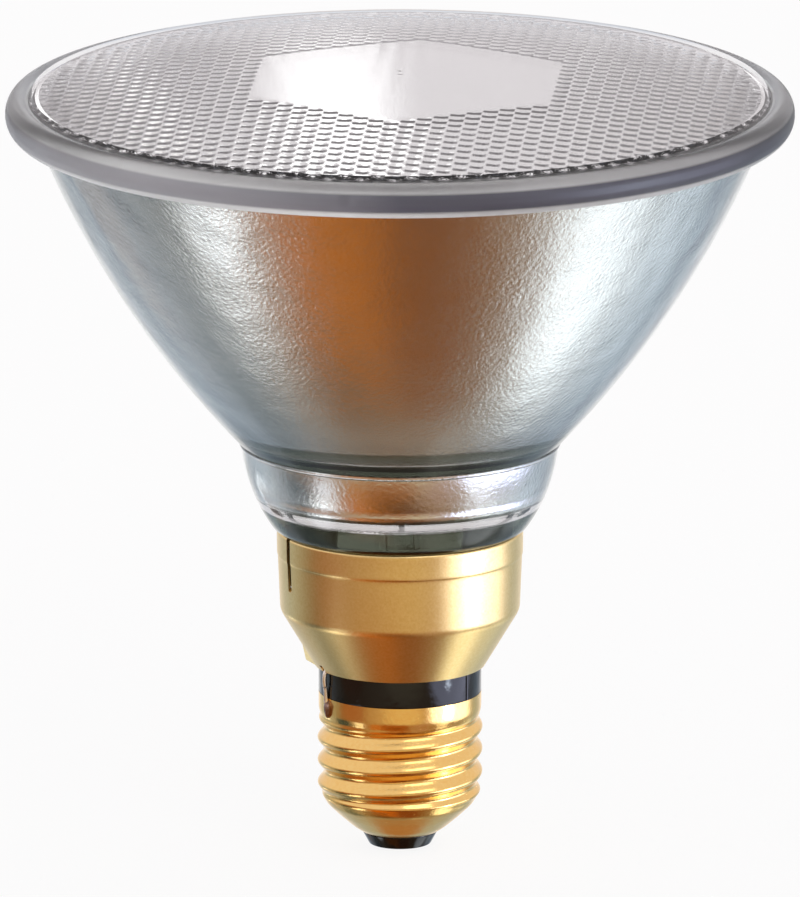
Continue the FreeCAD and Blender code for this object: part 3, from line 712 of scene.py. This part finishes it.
@dataclass
class Envelope:
    """The sealed glass bulb with its silvering: bowl, neck, heel, rim bead and lens."""

    columns: int = 200
    heel_height: float = 43.5
    heel_radius: float = 18.66
    heel_wall: float = 2.8
    skirt_edge: float = 52.1
    shoulder: float = 52.3
    junction: float = 65.83
    seam: float = 118.9
    seam_radius: float = 57.0
    rim_radius: float = 62.0
    bead_half: tuple[float, float] = (2.2, 2.8)
    lens_crown: float = 125.7
    lens_thickness: float = 3.5
    lens_sphere: float = 493.0
    lens_edge: float = 57.8
    relief_radius: float = 56.4
    relief_depth: float = 0.3
    relief_fade: float = 2.5
    pad_edge: float = 0.05
    cell_pitch: float = 2.85
    cell_steps: int = 6
    pad_flats: float = 47.5
    pad_turn: float = -4.7
    pad_offset: float = 1.0
    mirror_edge: float = 116.46
    focal: float = 12.489
    vertex: float = 56.83
    foot: float = 66.9
    ledge: float = 65.6
    floor: float = 56.6
    cup_corner: float = 3.0
    film_gap: float = 0.03
    film_thickness: float = 0.09
    film_slant: float = 1.6
    bowl_arc: tuple[float, float, float] = (160.6, 176.272, 91.601)
    neck_arc: tuple[float, float, float] = (25.9, 67.7, 0.838)

    def bowl(self, z: np.ndarray) -> np.ndarray:
        """The bowl's outer radius at some heights: an arc given by its radius, height and offset."""
        arc, height, offset = self.bowl_arc
        return np.sqrt(arc**2 - (height - z) ** 2) - offset

    def neck(self, z: np.ndarray, inset: float = 0.0) -> np.ndarray:
        """The neck's radius at some heights, or that of a face set in from it, as an arc too."""
        arc, height, offset = self.neck_arc
        return np.sqrt((arc - inset) ** 2 - (height - z) ** 2) - offset

    def mirror(self, z: np.ndarray) -> np.ndarray:
        """The radius of the mirror's parabola at some heights."""
        return np.sqrt(4 * self.focal * (z - self.vertex))

    def dome(self, radius: np.ndarray, crown: float) -> np.ndarray:
        """The height of a face of the lens at some radii."""
        return crown - self.lens_sphere + np.sqrt(self.lens_sphere**2 - radius**2)

    def outside(self) -> Shell:
        """The glass's outer face, from the lens's crown to the underside of the neck's floor."""
        across = np.linspace(0, self.lens_edge, 22)
        bead_middle = (self.rim_radius - self.bead_half[0], self.seam)
        bead_top = self.seam + self.bead_half[1]
        flange = self.seam - self.bead_half[1]
        bowl_z = np.linspace(flange - 0.35, self.junction + 0.5, 44)
        neck_z = np.linspace(self.junction - 0.45, self.shoulder + 0.3, 18)
        floor_under = self.floor - 3.0
        bore = self.heel_radius - self.heel_wall
        profile = np.vstack([
            np.column_stack([across, self.dome(across, self.lens_crown)]),
            polyline((58.5, bead_top - 0.42), (58.9, bead_top - 0.38), (59.3, bead_top - 0.12)),
            oval_arc(bead_middle, self.bead_half, 88, 7, 14),
            polyline((self.rim_radius - 0.05, self.seam)),
            oval_arc(bead_middle, self.bead_half, -7, -90, 14),
            polyline((58.6, flange + 0.02), (57.75, flange - 0.02)),
            np.column_stack([self.bowl(bowl_z), bowl_z]),
            oval_arc((self.bowl(self.junction) - 0.05, self.junction), (0.38, 0.38), 40, -60, 5),
            np.column_stack([self.neck(neck_z), neck_z]),
            polyline((self.neck(self.shoulder) - 0.3, self.shoulder - 0.08)),
            softened(
                polyline(
                    (self.heel_radius + 0.05, self.skirt_edge + 0.05),
                    (self.heel_radius, self.skirt_edge - 0.2),
                    (self.heel_radius, self.heel_height),
                    (bore, self.heel_height),
                    (bore, floor_under),
                    (0, floor_under),
                ),
                0.3,
            ),
        ])
        return lathe(profile, self.columns).facing_out()

    def cup_bend(self, end: float) -> np.ndarray:
        """The rounded corner at the foot of the cup, down to an angle below level."""
        low = self.floor + self.cup_corner
        middle = (self.neck(low, self.heel_wall) - self.cup_corner, low)
        return oval_arc(middle, (self.cup_corner,) * 2, -12, -end, 8)

    def inside(self) -> Shell:
        """The wall of the cavity: the lens's inner face, the mirror's bed, the cup and the floor."""
        field_face, loop, angle = self.lens_field()
        low = self.floor + self.cup_corner
        mirror_z = self.mirror_edge + (self.foot - self.mirror_edge) * np.linspace(0, 1, 40) ** 1.3
        cup_z = np.linspace(self.ledge, low, 10)
        inner_crown = self.lens_crown - self.lens_thickness
        profile = np.vstack([
            polyline((self.seam_radius, self.dome(self.seam_radius, inner_crown))),
            polyline((self.seam_radius, self.seam)),
            np.column_stack([self.mirror(mirror_z), mirror_z]),
            np.column_stack([self.neck(cup_z, self.heel_wall), cup_z]),
            self.cup_bend(90),
            polyline((0, self.floor)),
        ])
        wall = lathe(profile, self.columns)
        whole = field_face.joined(wall)
        ring = np.arange(self.columns) + len(field_face.points)
        ring_angle = np.linspace(0, 2 * np.pi, self.columns, endpoint=False)
        bridge = stitched(loop, angle, ring, ring_angle)
        return Shell(whole.points, whole.quads, np.vstack([whole.triangles, bridge]))

    def relief(self, x: np.ndarray, y: np.ndarray) -> np.ndarray:
        """How far the lens's inner face stands in at some places.

        The cells are round dimples packed like a honeycomb, in columns from front to back. Three waves that
        cross at 60 degrees add up to them. They meet in step at each cell's middle, where their cosines add
        up to 3, and are at their lowest, -1.5, at the corners between three cells. The field stops at the
        clear hexagon and runs out over relief_fade at its own edge.
        """
        turn = math.radians(self.pad_turn)
        across = (x - self.pad_offset) * math.cos(turn) + y * math.sin(turn)
        along = y * math.cos(turn) - (x - self.pad_offset) * math.sin(turn)
        wave = 2 * np.pi / (self.cell_pitch * math.cos(math.pi / 6))
        waves = sum(np.cos(wave * (across * math.cos(a) + along * math.sin(a))) for a in PAD_SIDES)
        pillow = self.relief_depth * (waves + 1.5) / 4.5
        past_pad = self.pad_reach(across, along).max(axis=0) - self.pad_flats / 2
        outside_pad = np.clip(past_pad / self.pad_edge, 0, 1)
        inside_edge = np.clip((self.relief_radius - np.hypot(x, y)) / self.relief_fade, 0, 1)
        return pillow * outside_pad * inside_edge

    def pad_reach(self, across: np.ndarray, along: np.ndarray) -> np.ndarray:
        """How far out some places lie towards each of the clear hexagon's three pairs of sides."""
        return np.stack([np.abs(across * math.cos(a) + along * math.sin(a)) for a in PAD_SIDES])

    def snapped(self, across: np.ndarray, along: np.ndarray, step: float) -> tuple[np.ndarray, np.ndarray]:
        """Grid places, with those next to a side of the clear hexagon moved straight onto it.

        Args:
            across: the places' first coordinates, seen from the hexagon's middle.
            along: their second coordinates.
            step: the grid's step.
        Returns:
            The moved coordinates.
        """
        half = self.pad_flats / 2
        for number, angle in enumerate(PAD_SIDES):
            reach = self.pad_reach(across, along)
            others = np.delete(reach, number, axis=0).max(axis=0)
            near = (np.abs(reach[number] - half) < 0.5 * step) & (others < half + 0.5 * step)
            way = np.sign(across * math.cos(angle) + along * math.sin(angle))
            shift = np.where(near, (half - reach[number]) * way, 0.0)
            across, along = across + shift * math.cos(angle), along + shift * math.sin(angle)
        return across, along

    def lens_field(self) -> tuple[Shell, np.ndarray, np.ndarray]:
        """The lens's inner face as a grid along the cells' columns, cut to a disc.

        Quads with a corner outside the disc are dropped. The points on the ragged edge that this leaves are
        moved out to the disc's circle.

        Returns:
            The face, the indices of its edge's points in the order of their angles, and those angles.
        """
        step = self.cell_pitch * math.cos(math.pi / 6) / self.cell_steps
        half = int((self.relief_radius + self.pad_offset) / step) + 2
        count = 2 * half + 1
        line = (np.arange(count) - half) * step
        across, along = np.meshgrid(line, line, indexing="ij")
        across, along = self.snapped(across, along, step)
        turn = math.radians(self.pad_turn)
        x = (across * math.cos(turn) - along * math.sin(turn)).ravel() + self.pad_offset
        y = (across * math.sin(turn) + along * math.cos(turn)).ravel()
        index = np.arange(count * count).reshape(count, count)
        corners = [index[:-1, :-1], index[1:, :-1], index[1:, 1:], index[:-1, 1:]]
        quads = np.stack(corners, axis=-1).reshape(-1, 4)
        within = np.hypot(x, y) < self.relief_radius - 0.3 * step
        quads = quads[within[quads].all(axis=1)]
        uses = np.bincount(quads.ravel(), minlength=len(x))
        on_edge = (uses > 0) & (uses < 4)
        radius = np.hypot(x, y)
        reach = np.where(on_edge, self.relief_radius / np.maximum(radius, 1e-9), 1.0)
        x, y = x * reach, y * reach
        z = self.dome(np.minimum(np.hypot(x, y), self.seam_radius), self.lens_crown - self.lens_thickness)
        z = z - self.relief(x, y)
        used = uses > 0
        renumbered = np.cumsum(used) - 1
        edge = np.flatnonzero(on_edge)
        angle = np.mod(np.arctan2(y[edge], x[edge]), 2 * np.pi)
        order = np.argsort(angle)
        points = np.column_stack([x, y, z])[used]
        return Shell(points, renumbered[quads]), renumbered[edge[order]], angle[order]

    def silvering(self) -> Shell:
        """The film of metal on the mirror's bed and on the cup's wall, as two thin rings."""
        edge = self.mirror_edge - 0.15
        z = edge + (self.foot + 0.8 - edge) * np.linspace(0, 1, 40) ** 1.3
        deep = self.film_gap + self.film_thickness
        outer = np.column_stack([self.mirror(z) - self.film_gap * self.film_slant, z])
        inner = np.column_stack([self.mirror(z) - deep * self.film_slant, z])
        bowl = lathe(np.vstack([outer, inner[::-1]]), self.columns, closed=True).facing_out()
        low, high = self.floor + self.cup_corner, self.ledge - 0.1
        z = np.linspace(high, low, 14)
        wall = np.column_stack([self.neck(z, self.heel_wall), z])
        outer = np.vstack([wall, self.cup_bend(36)]) - [self.film_gap, -self.film_gap / 2]
        inner = outer - [self.film_thickness, -self.film_thickness / 2]
        cup = lathe(np.vstack([outer, inner[::-1]]), self.columns, closed=True).facing_out()
        return bowl.joined(cup)

    def build(self, shop: Workshop) -> None:
        """Make the glass and the silvering."""
        cavity = self.inside().facing_in()
        glass = self.outside().joined(cavity)
        shop.piece("bulb_glass", glass, Slot.BOWL, ("lens", "reflector"), sharp=24)
        shop.piece("bulb_silvering", self.silvering(), Slot.SILVERING, ("reflector_coating",), sharp=40)


@dataclass
class Burner:
    """What stands in the neck: the filament as a real coil, and the CAD nodes that carry it."""

    height: float = 69.34
    half_length: float = 7.5
    tail: float = 1.2
    coil_radius: float = 1.12
    wire_radius: float = 0.22
    turns: int = 13

    def coil(self) -> Shell:
        """One wire: a tail, the coil and the other tail."""
        turn = np.linspace(0, 2 * np.pi * self.turns, self.turns * 16)
        reach = self.half_length - self.tail
        x = np.linspace(-reach, reach, len(turn))
        swell = np.clip(np.minimum(turn, turn[::-1]) / np.pi, 0, 1)
        y = self.coil_radius * swell * np.sin(turn)
        z = self.height + self.coil_radius * swell * -np.cos(turn)
        path = np.column_stack([x, y, z])
        path = np.vstack([[[-self.half_length, 0, self.height]], path, [[self.half_length, 0, self.height]]])
        return tube(path, np.full(len(path), self.wire_radius), 8)

    def build(self, shop: Workshop) -> None:
        """Make the filament and give the other nodes their materials."""
        shop.piece("filament_coil", self.coil(), Slot.FILAMENT, ("filament",))
        finishes = {
            "exhaust_tube": Slot.INNER_GLASS,
            "ferrule_live": Slot.FERRULE,
            "ferrule_neutral": Slot.FERRULE,
            "support_rod_live": Slot.SUPPORT,
            "support_rod_neutral": Slot.SUPPORT,
            "filament_bridge": Slot.INNER_GLASS,
            "filament_hook": Slot.SUPPORT,
            "centre_lead_wire": Slot.LEAD,
        }
        for node, slot in finishes.items():
            shop.dress(node, slot)


@dataclass
class Skirt:
    """The brass skirt with its curled edge, slits, lead notch and lifted flap."""

    wall: float = 0.4
    mouth: tuple[float, float] = (13.5, 29.9)
    shoulder: tuple[float, float] = (18.9, 38.9)
    step_height: float = 47.8
    edge: tuple[float, float] = (19.45, 52.1)
    curl: float = 0.55
    slit_angle: float = -155.0
    slit_length: float = 8.8
    slit_half: float = 0.6
    flap_angle: float = -180.0
    flap_sweep: float = 26.0

    def wall_radius(self, z: float) -> float:
        """The outer radius of the upper wall at a height."""
        share = (z - self.shoulder[1]) / (self.edge[1] - self.shoulder[1])
        return self.shoulder[0] + (self.edge[0] - self.shoulder[0]) * share

    def cone_slope(self) -> float:
        """How much the cone widens for each millimetre of height."""
        return (self.shoulder[0] - self.mouth[0]) / (self.shoulder[1] - self.mouth[1])

    def profile(self) -> np.ndarray:
        """The closed outline of the spun sheet."""
        step = self.wall_radius(self.step_height)
        across = self.wall * math.hypot(1, self.cone_slope())
        curl_z = self.edge[1] - self.curl
        outer = polyline(
            self.mouth,
            self.shoulder,
            (step, self.step_height),
            (step + 0.12, self.step_height + 0.14),
            (self.edge[0] - 0.02, curl_z - 0.3),
        )
        roll = oval_arc((self.edge[0] - self.curl, curl_z), (self.curl, self.curl), 0, 112, 9)
        inner = polyline(
            (self.edge[0] - self.curl - 0.19, curl_z + 0.25),
            (self.edge[0] - self.wall, curl_z - self.curl),
            (step - self.wall, self.step_height),
            (self.shoulder[0] - self.wall, self.shoulder[1] + 0.11),
            (self.mouth[0] - across, self.mouth[1]),
        )
        return np.vstack([softened(outer, 0.7, 6), roll, inner])

    def flap(self) -> Shell:
        """The three-cornered flap that stands away from the cone at its mouth."""

        def on_cone(rise: float, degrees: float, proud: float) -> list[float]:
            radius = self.mouth[0] + rise * self.cone_slope() + proud
            angle = math.radians(degrees)
            return [radius * math.cos(angle), radius * math.sin(angle), self.mouth[1] + rise]

        far = self.flap_angle + self.flap_sweep
        points = np.array([
            on_cone(3.6, self.flap_angle, -0.1),
            on_cone(0.4, self.flap_angle, 1.1),
            on_cone(0.4, self.flap_angle, -0.1),
            on_cone(0.4, far, -0.1),
        ])
        triangles = np.array([[0, 1, 3], [0, 2, 1], [0, 3, 2], [2, 3, 1]])
        return Shell(points, triangles=triangles).facing_out()

    def build(self, shop: Workshop) -> None:
        """Make the skirt and its flap."""
        sheet = lathe(self.profile(), 256, closed=True).facing_out()
        skirt = shop.piece("skirt_sheet", sheet, Slot.SKIRT, ("skirt",))
        half = self.slit_length / 2
        slit = (1.2, self.slit_half, half + 0.5)
        for angle in (self.slit_angle, self.slit_angle + 180):
            shop.cut(skirt, upright_box(self.edge[0] - 0.3, angle, slit, self.edge[1] - half + 0.5))
        shop.cut(skirt, upright_box(13.6, LEAD_ANGLE, (1.5, 0.5, 1.1), self.mouth[1]))
        shop.piece("skirt_flap", self.flap(), Slot.SKIRT, (), sharp=10)


@dataclass
class Cap:
    """The screw cap: black ring, threaded shell, black cone, centre contact and its solder."""

    ring: tuple[float, float] = (12.85, 9.6)
    shell_edge: float = 25.5
    shell_foot: float = 2.7
    skirt_mouth: float = 29.9
    crest: float = 13.05
    root: float = 12.05
    pitch: float = 3.629
    crest_height: float = 16.0
    low_end: float = 8.4
    high_end: float = 22.0
    fade: float = 1.5
    sheet: float = 0.3
    seam_angle: float = -35.0

    def insulating_ring(self) -> Shell:
        """The black ring, with its spigot in the shell and its seat in the skirt."""
        outline = polyline(
            (self.ring[1], self.shell_edge - 2.0),
            (12.4, self.shell_edge - 2.0),
            (12.5, self.shell_edge + 0.02),
            (self.ring[0], self.shell_edge + 0.02),
            (self.ring[0], self.skirt_mouth - 0.02),
            (12.9, self.skirt_mouth + 0.05),
            (14.4, self.skirt_mouth + 2.6),
            (self.ring[1], self.skirt_mouth + 2.6),
        )
        return rounded_ring(outline, 0.12, 4, 160)

    def thread(self, z: np.ndarray) -> np.ndarray:
        """How far the thread is rolled in at some heights: 0 at the plain ends, 1 between them."""
        share = np.clip(np.minimum(z - self.low_end, self.high_end - z) / self.fade, 0, 1)
        return share * share * (3 - 2 * share)

    def shell_face(self, inset: float, rows: int, columns: int) -> np.ndarray:
        """The points of one face of the shell: its plain profile with the thread's wave on it."""
        middle = (self.crest + self.root) / 2
        knots = np.array([
            (self.shell_foot, 6.05),
            (3.2, 6.85),
            (3.65, 7.5),
            (5.6, 9.75),
            (7.4, 11.6),
            (self.low_end + 0.6, middle - 0.05),
            (21.6, middle),
            (self.high_end + 0.8, 12.84),
            (23.6, self.ring[0]),
            (self.shell_edge, self.ring[0]),
        ])
        z = np.linspace(self.shell_foot, self.shell_edge, rows)
        plain = np.interp(z, knots[:, 0], knots[:, 1])
        blur = np.array([1, 2, 3, 2, 1]) / 9
        plain[2:-2] = np.convolve(plain, blur, mode="valid")
        turn = np.linspace(0, 2 * np.pi, columns, endpoint=False)
        wave = np.cos(2 * np.pi * ((z[:, None] - self.crest_height) / self.pitch) - turn[None, :])
        radius = plain[:, None] + (self.crest - self.root) / 2 * self.thread(z)[:, None] * wave - inset
        height = np.repeat(z[:, None], columns, axis=1)
        return np.stack([radius * np.cos(turn), radius * np.sin(turn), height], axis=-1)

    def screw_shell(self) -> Shell:
        """The threaded shell as one closed sheet."""
        rows, columns = 120, 160
        outer = self.shell_face(0.0, rows, columns)
        inner = self.shell_face(self.sheet, rows, columns)[::-1]
        points = np.concatenate([outer, inner]).reshape(-1, 3)
        return Shell(points, wrapped_quads(2 * rows, columns, True)).facing_out()

    def tip(self) -> Shell:
        """The black cone under the shell, with its recess for the contact."""
        recess = ((0.8, 1.1), (4.0, 1.1), (4.0, 0.6), (4.9, 0.6))
        cone = ((6.0, 2.66), (5.75, 3.0), (7.1, 3.9), (7.3, 6.3), (0.8, 6.3))
        outline = polyline(*recess, *cone)
        return rounded_ring(outline, 0.2, 5, 96)

    def contact(self) -> Shell:
        """The contact plate with its hole."""
        outline = polyline((0.6, 0.62), (3.95, 0.62), (3.95, 1.08), (0.6, 1.08))
        return rounded_ring(outline, 0.08, 4, 72)

    def drop(self) -> Shell:
        """The drop of solder, worn flat."""
        profile = softened(polyline((0, 0.62), (2.3, 0.61), (2.1, 0.3), (1.2, 0.0), (0, 0)), 0.25, 5)
        return lathe(profile, 48).facing_out()

    def build(self, shop: Workshop) -> None:
        """Make the cap's pieces."""
        ring = shop.piece("ring_glass", self.insulating_ring(), Slot.BLACK_GLASS, ("skirt_insulator",))
        shop.cut(ring, upright_box(13.9, LEAD_ANGLE, (1.4, 0.5, 1.6), self.skirt_mouth + 1.3))
        seam = upright_box(12.9, self.seam_angle, (0.07, 0.15, 2.15), 27.7)
        shop.piece("ring_mould_line", seam, Slot.BLACK_GLASS, ())
        shop.piece("shell_sheet", self.screw_shell(), Slot.SHELL, ("screw_shell",), sharp=60)
        shop.piece("tip_glass", self.tip(), Slot.BLACK_GLASS, ("tip_insulator",))
        shop.piece("contact_plate", self.contact(), Slot.CONTACT, ("centre_contact",))
        shop.piece("contact_drop", self.drop(), Slot.SOLDER, ("contact_solder",))


@dataclass
class SideLead:
    """The lead that comes out under the skirt, and its spot of solder on the shell."""

    radius: float = 0.35

    def at(self, radius: float, z: float) -> list[float]:
        """A point at a radius and a height, at the lead's angle."""
        angle = math.radians(LEAD_ANGLE)
        return [radius * math.cos(angle), radius * math.sin(angle), z]

    def build(self, shop: Workshop) -> None:
        """Make the wire and the solder."""
        corners = np.array([
            [-9.5, 0, 57.0],
            [-9.5, 0, 50.0],
            self.at(8.9, 33.6),
            self.at(10.8, 31.9),
            self.at(13.0, 30.3),
            self.at(13.5, 28.6),
            self.at(13.22, 26.4),
            self.at(13.2, 23.9),
        ])
        path = smooth_path(corners, 10)
        wire = tube(path, np.full(len(path), self.radius), 16)
        shop.piece("side_lead", wire, Slot.LEAD, ("side_lead_wire",))
        drop = blob(np.array(self.at(12.95, 23.9)), (0.62, 0.95, 1.45))
        shop.piece("side_solder_drop", drop, Slot.SOLDER, ("side_solder",))


@dataclass(frozen=True)
class Glow:
    """A soft oval area of the studio: the direction of its middle, its half size, softness and light."""

    middle: tuple[float, float, float]
    half: tuple[float, float, float]
    softness: float
    light: tuple[float, float, float]


# The light below the horizon, from the front of the studio, 0, to its back, 1
AROUND_BELOW = [
    (0.0, (0.56, 0.42, 0.26)),
    (0.30, (0.30, 0.17, 0.08)),
    (0.48, (0.24, 0.16, 0.09)),
    (0.58, (0.30, 0.27, 0.22)),
    (0.74, (0.42, 0.47, 0.52)),
    (0.86, (0.42, 0.52, 0.62)),
    (0.97, (0.80, 0.82, 0.86)),
]
# Each area covers those before it
GLOWS = {
    "front wall": Glow((0.0, -0.95, 0.12), (0.9, 0.35, 0.24), 0.6, (0.45, 0.38, 0.33)),
    "brown under": Glow((0.0, 0.42, -0.91), (0.34, 0.28, 0.2), 0.6, (0.40, 0.22, 0.10)),
    "warm front": Glow((0.14, -0.97, -0.2), (0.74, 0.34, 0.28), 0.6, (0.72, 0.58, 0.36)),
    "red wall": Glow((-0.90, -0.30, -0.18), (0.36, 0.5, 0.24), 0.5, (0.34, 0.15, 0.07)),
    "amber table": Glow((-0.22, -0.45, -0.84), (0.52, 0.40, 0.5), 0.5, (0.56, 0.16, 0.015)),
    "brown table": Glow((0.14, -0.36, -0.90), (0.32, 0.46, 0.5), 0.6, (0.22, 0.07, 0.02)),
    "amber neck": Glow((-0.12, -0.80, -0.57), (0.46, 0.24, 0.20), 0.4, (0.34, 0.10, 0.015)),
    "amber neck side": Glow((-0.52, -0.66, -0.56), (0.17, 0.17, 0.16), 0.5, (0.52, 0.20, 0.05)),
    "dark neck": Glow((-0.04, -0.64, -0.77), (0.46, 0.18, 0.17), 0.5, (0.08, 0.032, 0.01)),
    "pale spot": Glow((0.19, 0.17, -0.965), (0.10, 0.12, 0.12), 0.6, (0.52, 0.50, 0.44)),
    "pink neck": Glow((0.45, -0.68, -0.55), (0.22, 0.22, 0.2), 0.5, (0.42, 0.25, 0.18)),
    "dark under left": Glow((-0.24, -0.08, -0.97), (0.22, 0.24, 0.15), 0.7, (0.15, 0.08, 0.035)),
    "teal side": Glow((-0.84, 0.10, -0.54), (0.20, 0.28, 0.22), 0.4, (0.04, 0.075, 0.10)),
    "dark far side": Glow((-0.50, 0.36, -0.79), (0.24, 0.30, 0.17), 0.6, (0.15, 0.19, 0.21)),
    "left streak": Glow((-0.77, -0.34, -0.53), (0.14, 0.17, 0.16), 0.4, (1.3, 1.35, 1.45)),
    "left edge": Glow((-0.60, 0.67, -0.44), (0.14, 0.16, 0.10), 0.5, (2.4, 2.6, 2.7)),
    "right flank": Glow((0.78, -0.30, -0.52), (0.14, 0.22, 0.16), 0.4, (1.2, 1.2, 1.2)),
    "right window": Glow((0.62, 0.10, -0.76), (0.26, 0.31, 0.28), 0.5, (1.7, 1.8, 1.85)),
    "right lamp": Glow((0.91, -0.22, -0.2), (0.50, 0.80, 0.34), 0.4, (2.2, 2.3, 3.0)),
    "right bulb": Glow((0.94, -0.30, -0.2), (0.10, 0.18, 0.15), 0.5, (12.0, 13.5, 16.0)),
    "left window": Glow((-0.66, -0.08, -0.74), (0.19, 0.23, 0.15), 0.6, (2.5, 2.6, 2.7)),
    "far left": Glow((-0.58, 0.63, -0.52), (0.16, 0.24, 0.16), 0.7, (0.66, 0.58, 0.55)),
    "far right": Glow((0.64, 0.50, -0.56), (0.2, 0.34, 0.2), 0.7, (0.95, 1.08, 1.18)),
}
SKY = (0.84, 0.79, 0.81)
# Where the camera sees the white background
BACKDROP = Glow((0.0, 0.97, -0.24), (0.5, 0.4, 0.3), 0.5, (1.0, 1.0, 1.0))


@dataclass
class Studio:
    """The soft light round the lamp, the white background and the camera."""

    target: tuple[float, float, float] = (0.0, 0.0, 64.6)
    elevation: float = 13.9
    distance: float = 4000.0
    field_mm: float = 141.26
    floor_radius: float = 1200.0
    paper: float = 0.9
    horizon: tuple[float, float] = (-0.25, 0.15)
    lamp_size: tuple[float, float] = (0.8, 0.6)
    lamp_power: float = 2.0
    lamp_place: tuple[float, float, float] = (0.47, -0.85, 0.83)
    lamp_aim: tuple[float, float, float] = (0.0, 0.0, 0.08)
    bounces: int = 9

    def patch(
        self, shader: Shader, tree: bpy.types.NodeTree, way: bpy.types.NodeSocket, glow: Glow
    ) -> bpy.types.NodeSocket:
        """The mask of one soft area."""
        place = {"Direction": way, "Middle": glow.middle, "Half_size": glow.half, "Softness": glow.softness}
        return shader.group(tree, "Mask", **place)

    def world(self) -> None:
        """The studio as a function of direction: pale above, and below it the tones that the photo's room
        gives the bulb, as soft coloured areas.

        The background is white to the camera. It is white in metal and glass too, but only in the directions
        behind the lamp where the camera sees it. In the other directions they show the soft areas.
        """
        world = bpy.data.worlds.new("studio")
        bpy.context.scene.world = world
        world.cycles.sampling_method = "NONE"
        shader = blank(world)
        way = shader.node("ShaderNodeTexCoord").outputs["Generated"]
        split = shader.node("ShaderNodeSeparateXYZ", Vector=way)
        depth = shader.node("ShaderNodeMapRange", Value=split.outputs[1], From_Min=-1.0, From_Max=1.0)
        ramp = shader.node("ShaderNodeValToRGB", Fac=depth.outputs[0])
        elements = ramp.color_ramp.elements
        while len(elements) < len(AROUND_BELOW):
            elements.new(0.5)
        for element, (place, colour) in zip(elements, AROUND_BELOW):
            element.position = place
            element.color = (*colour, 1)
        above = shader.fade(split.outputs[2], From_Min=self.horizon[0], From_Max=self.horizon[1])
        colour = shader.mix(above, ramp.outputs[0], (*SKY, 1))
        soft = patch_group()
        for glow in GLOWS.values():
            colour = shader.mix(self.patch(shader, soft, way, glow), colour, (*glow.light, 1))
        lit = shader.node("ShaderNodeBackground", Color=colour, Strength=1.0)
        white = shader.node("ShaderNodeBackground", Color=(*BACKDROP.light, 1), Strength=1.0)
        ray = shader.node("ShaderNodeLightPath").outputs
        behind = self.patch(shader, soft, way, BACKDROP)
        mirrored = shader.math("MAXIMUM", ray["Is Glossy Ray"], ray["Is Transmission Ray"])
        seen = shader.math("MAXIMUM", ray["Is Camera Ray"], shader.math("MULTIPLY", mirrored, behind))
        mixed = shader.node("ShaderNodeMixShader", in0=seen, in1=lit.outputs[0], in2=white.outputs[0])
        shader.node("ShaderNodeOutputWorld", Surface=mixed.outputs[0])

    def floor(self) -> None:
        """A wide white floor under the lamp's tip, which the camera sees with a faint shadow.

        Metal and glass don't see it: below the horizon they show the world's soft areas.
        """
        disc = lathe(polyline((0, 0), (self.floor_radius, 0)), 64)
        mesh = mesh_of("floor", disc)
        material = bpy.data.materials.new("floor_paper")
        shader = blank(material)
        paper = shader.node("ShaderNodeBsdfDiffuse", Color=(*(self.paper,) * 3, 1))
        white = shader.node("ShaderNodeEmission", Color=(1, 1, 1, 1), Strength=1.0)
        seen = shader.node("ShaderNodeLightPath").outputs["Is Camera Ray"]
        share = shader.math("MULTIPLY", seen, self.paper)
        mixed = shader.node("ShaderNodeMixShader", in0=share, in1=paper.outputs[0], in2=white.outputs[0])
        shader.node("ShaderNodeOutputMaterial", Surface=mixed.outputs[0])
        mesh.materials.append(material)
        made = bpy.data.objects.new("floor", mesh)
        made.visible_glossy = False
        made.visible_transmission = False
        bpy.context.scene.collection.objects.link(made)

    def softbox(self) -> None:
        """One large area light above and in front, for the shadows of the lamp's own pieces."""
        light = bpy.data.lights.new("overhead", "AREA")
        light.shape = "RECTANGLE"
        light.size, light.size_y = self.lamp_size
        light.energy = self.lamp_power
        lamp = bpy.data.objects.new("overhead", light)
        lamp.location = self.lamp_place
        lamp.rotation_euler = (Vector(self.lamp_aim) - lamp.location).to_track_quat("-Z", "Y").to_euler()
        bpy.context.scene.collection.objects.link(lamp)

    def camera(self) -> None:
        """A long lens level with the photo's."""
        data = bpy.data.cameras.new("camera")
        data.lens = data.sensor_width / 2 / (self.field_mm / 2 / self.distance)
        data.clip_start, data.clip_end = 0.5, 20.0
        made = bpy.data.objects.new("camera", data)
        tilt = math.radians(self.elevation)
        back = Vector((0, -math.cos(tilt), math.sin(tilt)))
        made.location = (Vector(self.target) + back * self.distance) * MM
        made.rotation_euler = (-back).to_track_quat("-Z", "Y").to_euler()
        bpy.context.scene.collection.objects.link(made)
        bpy.context.scene.camera = made

    def build(self) -> None:
        """Set up the light, the camera and the plain colour view."""
        self.world()
        self.floor()
        self.softbox()
        self.camera()
        bpy.context.scene.view_settings.view_transform = "Standard"
        cycles = bpy.context.scene.cycles
        cycles.max_bounces = cycles.transmission_bounces = self.bounces


def main() -> None:
    """Dress the frame, light it and set the camera."""
    logging.basicConfig(level=logging.INFO)
    shop = Workshop(Palette().all())
    Envelope().build(shop)
    Burner().build(shop)
    Skirt().build(shop)
    Cap().build(shop)
    SideLead().build(shop)
    Studio().build()


if __name__ == "__main__":
    main()
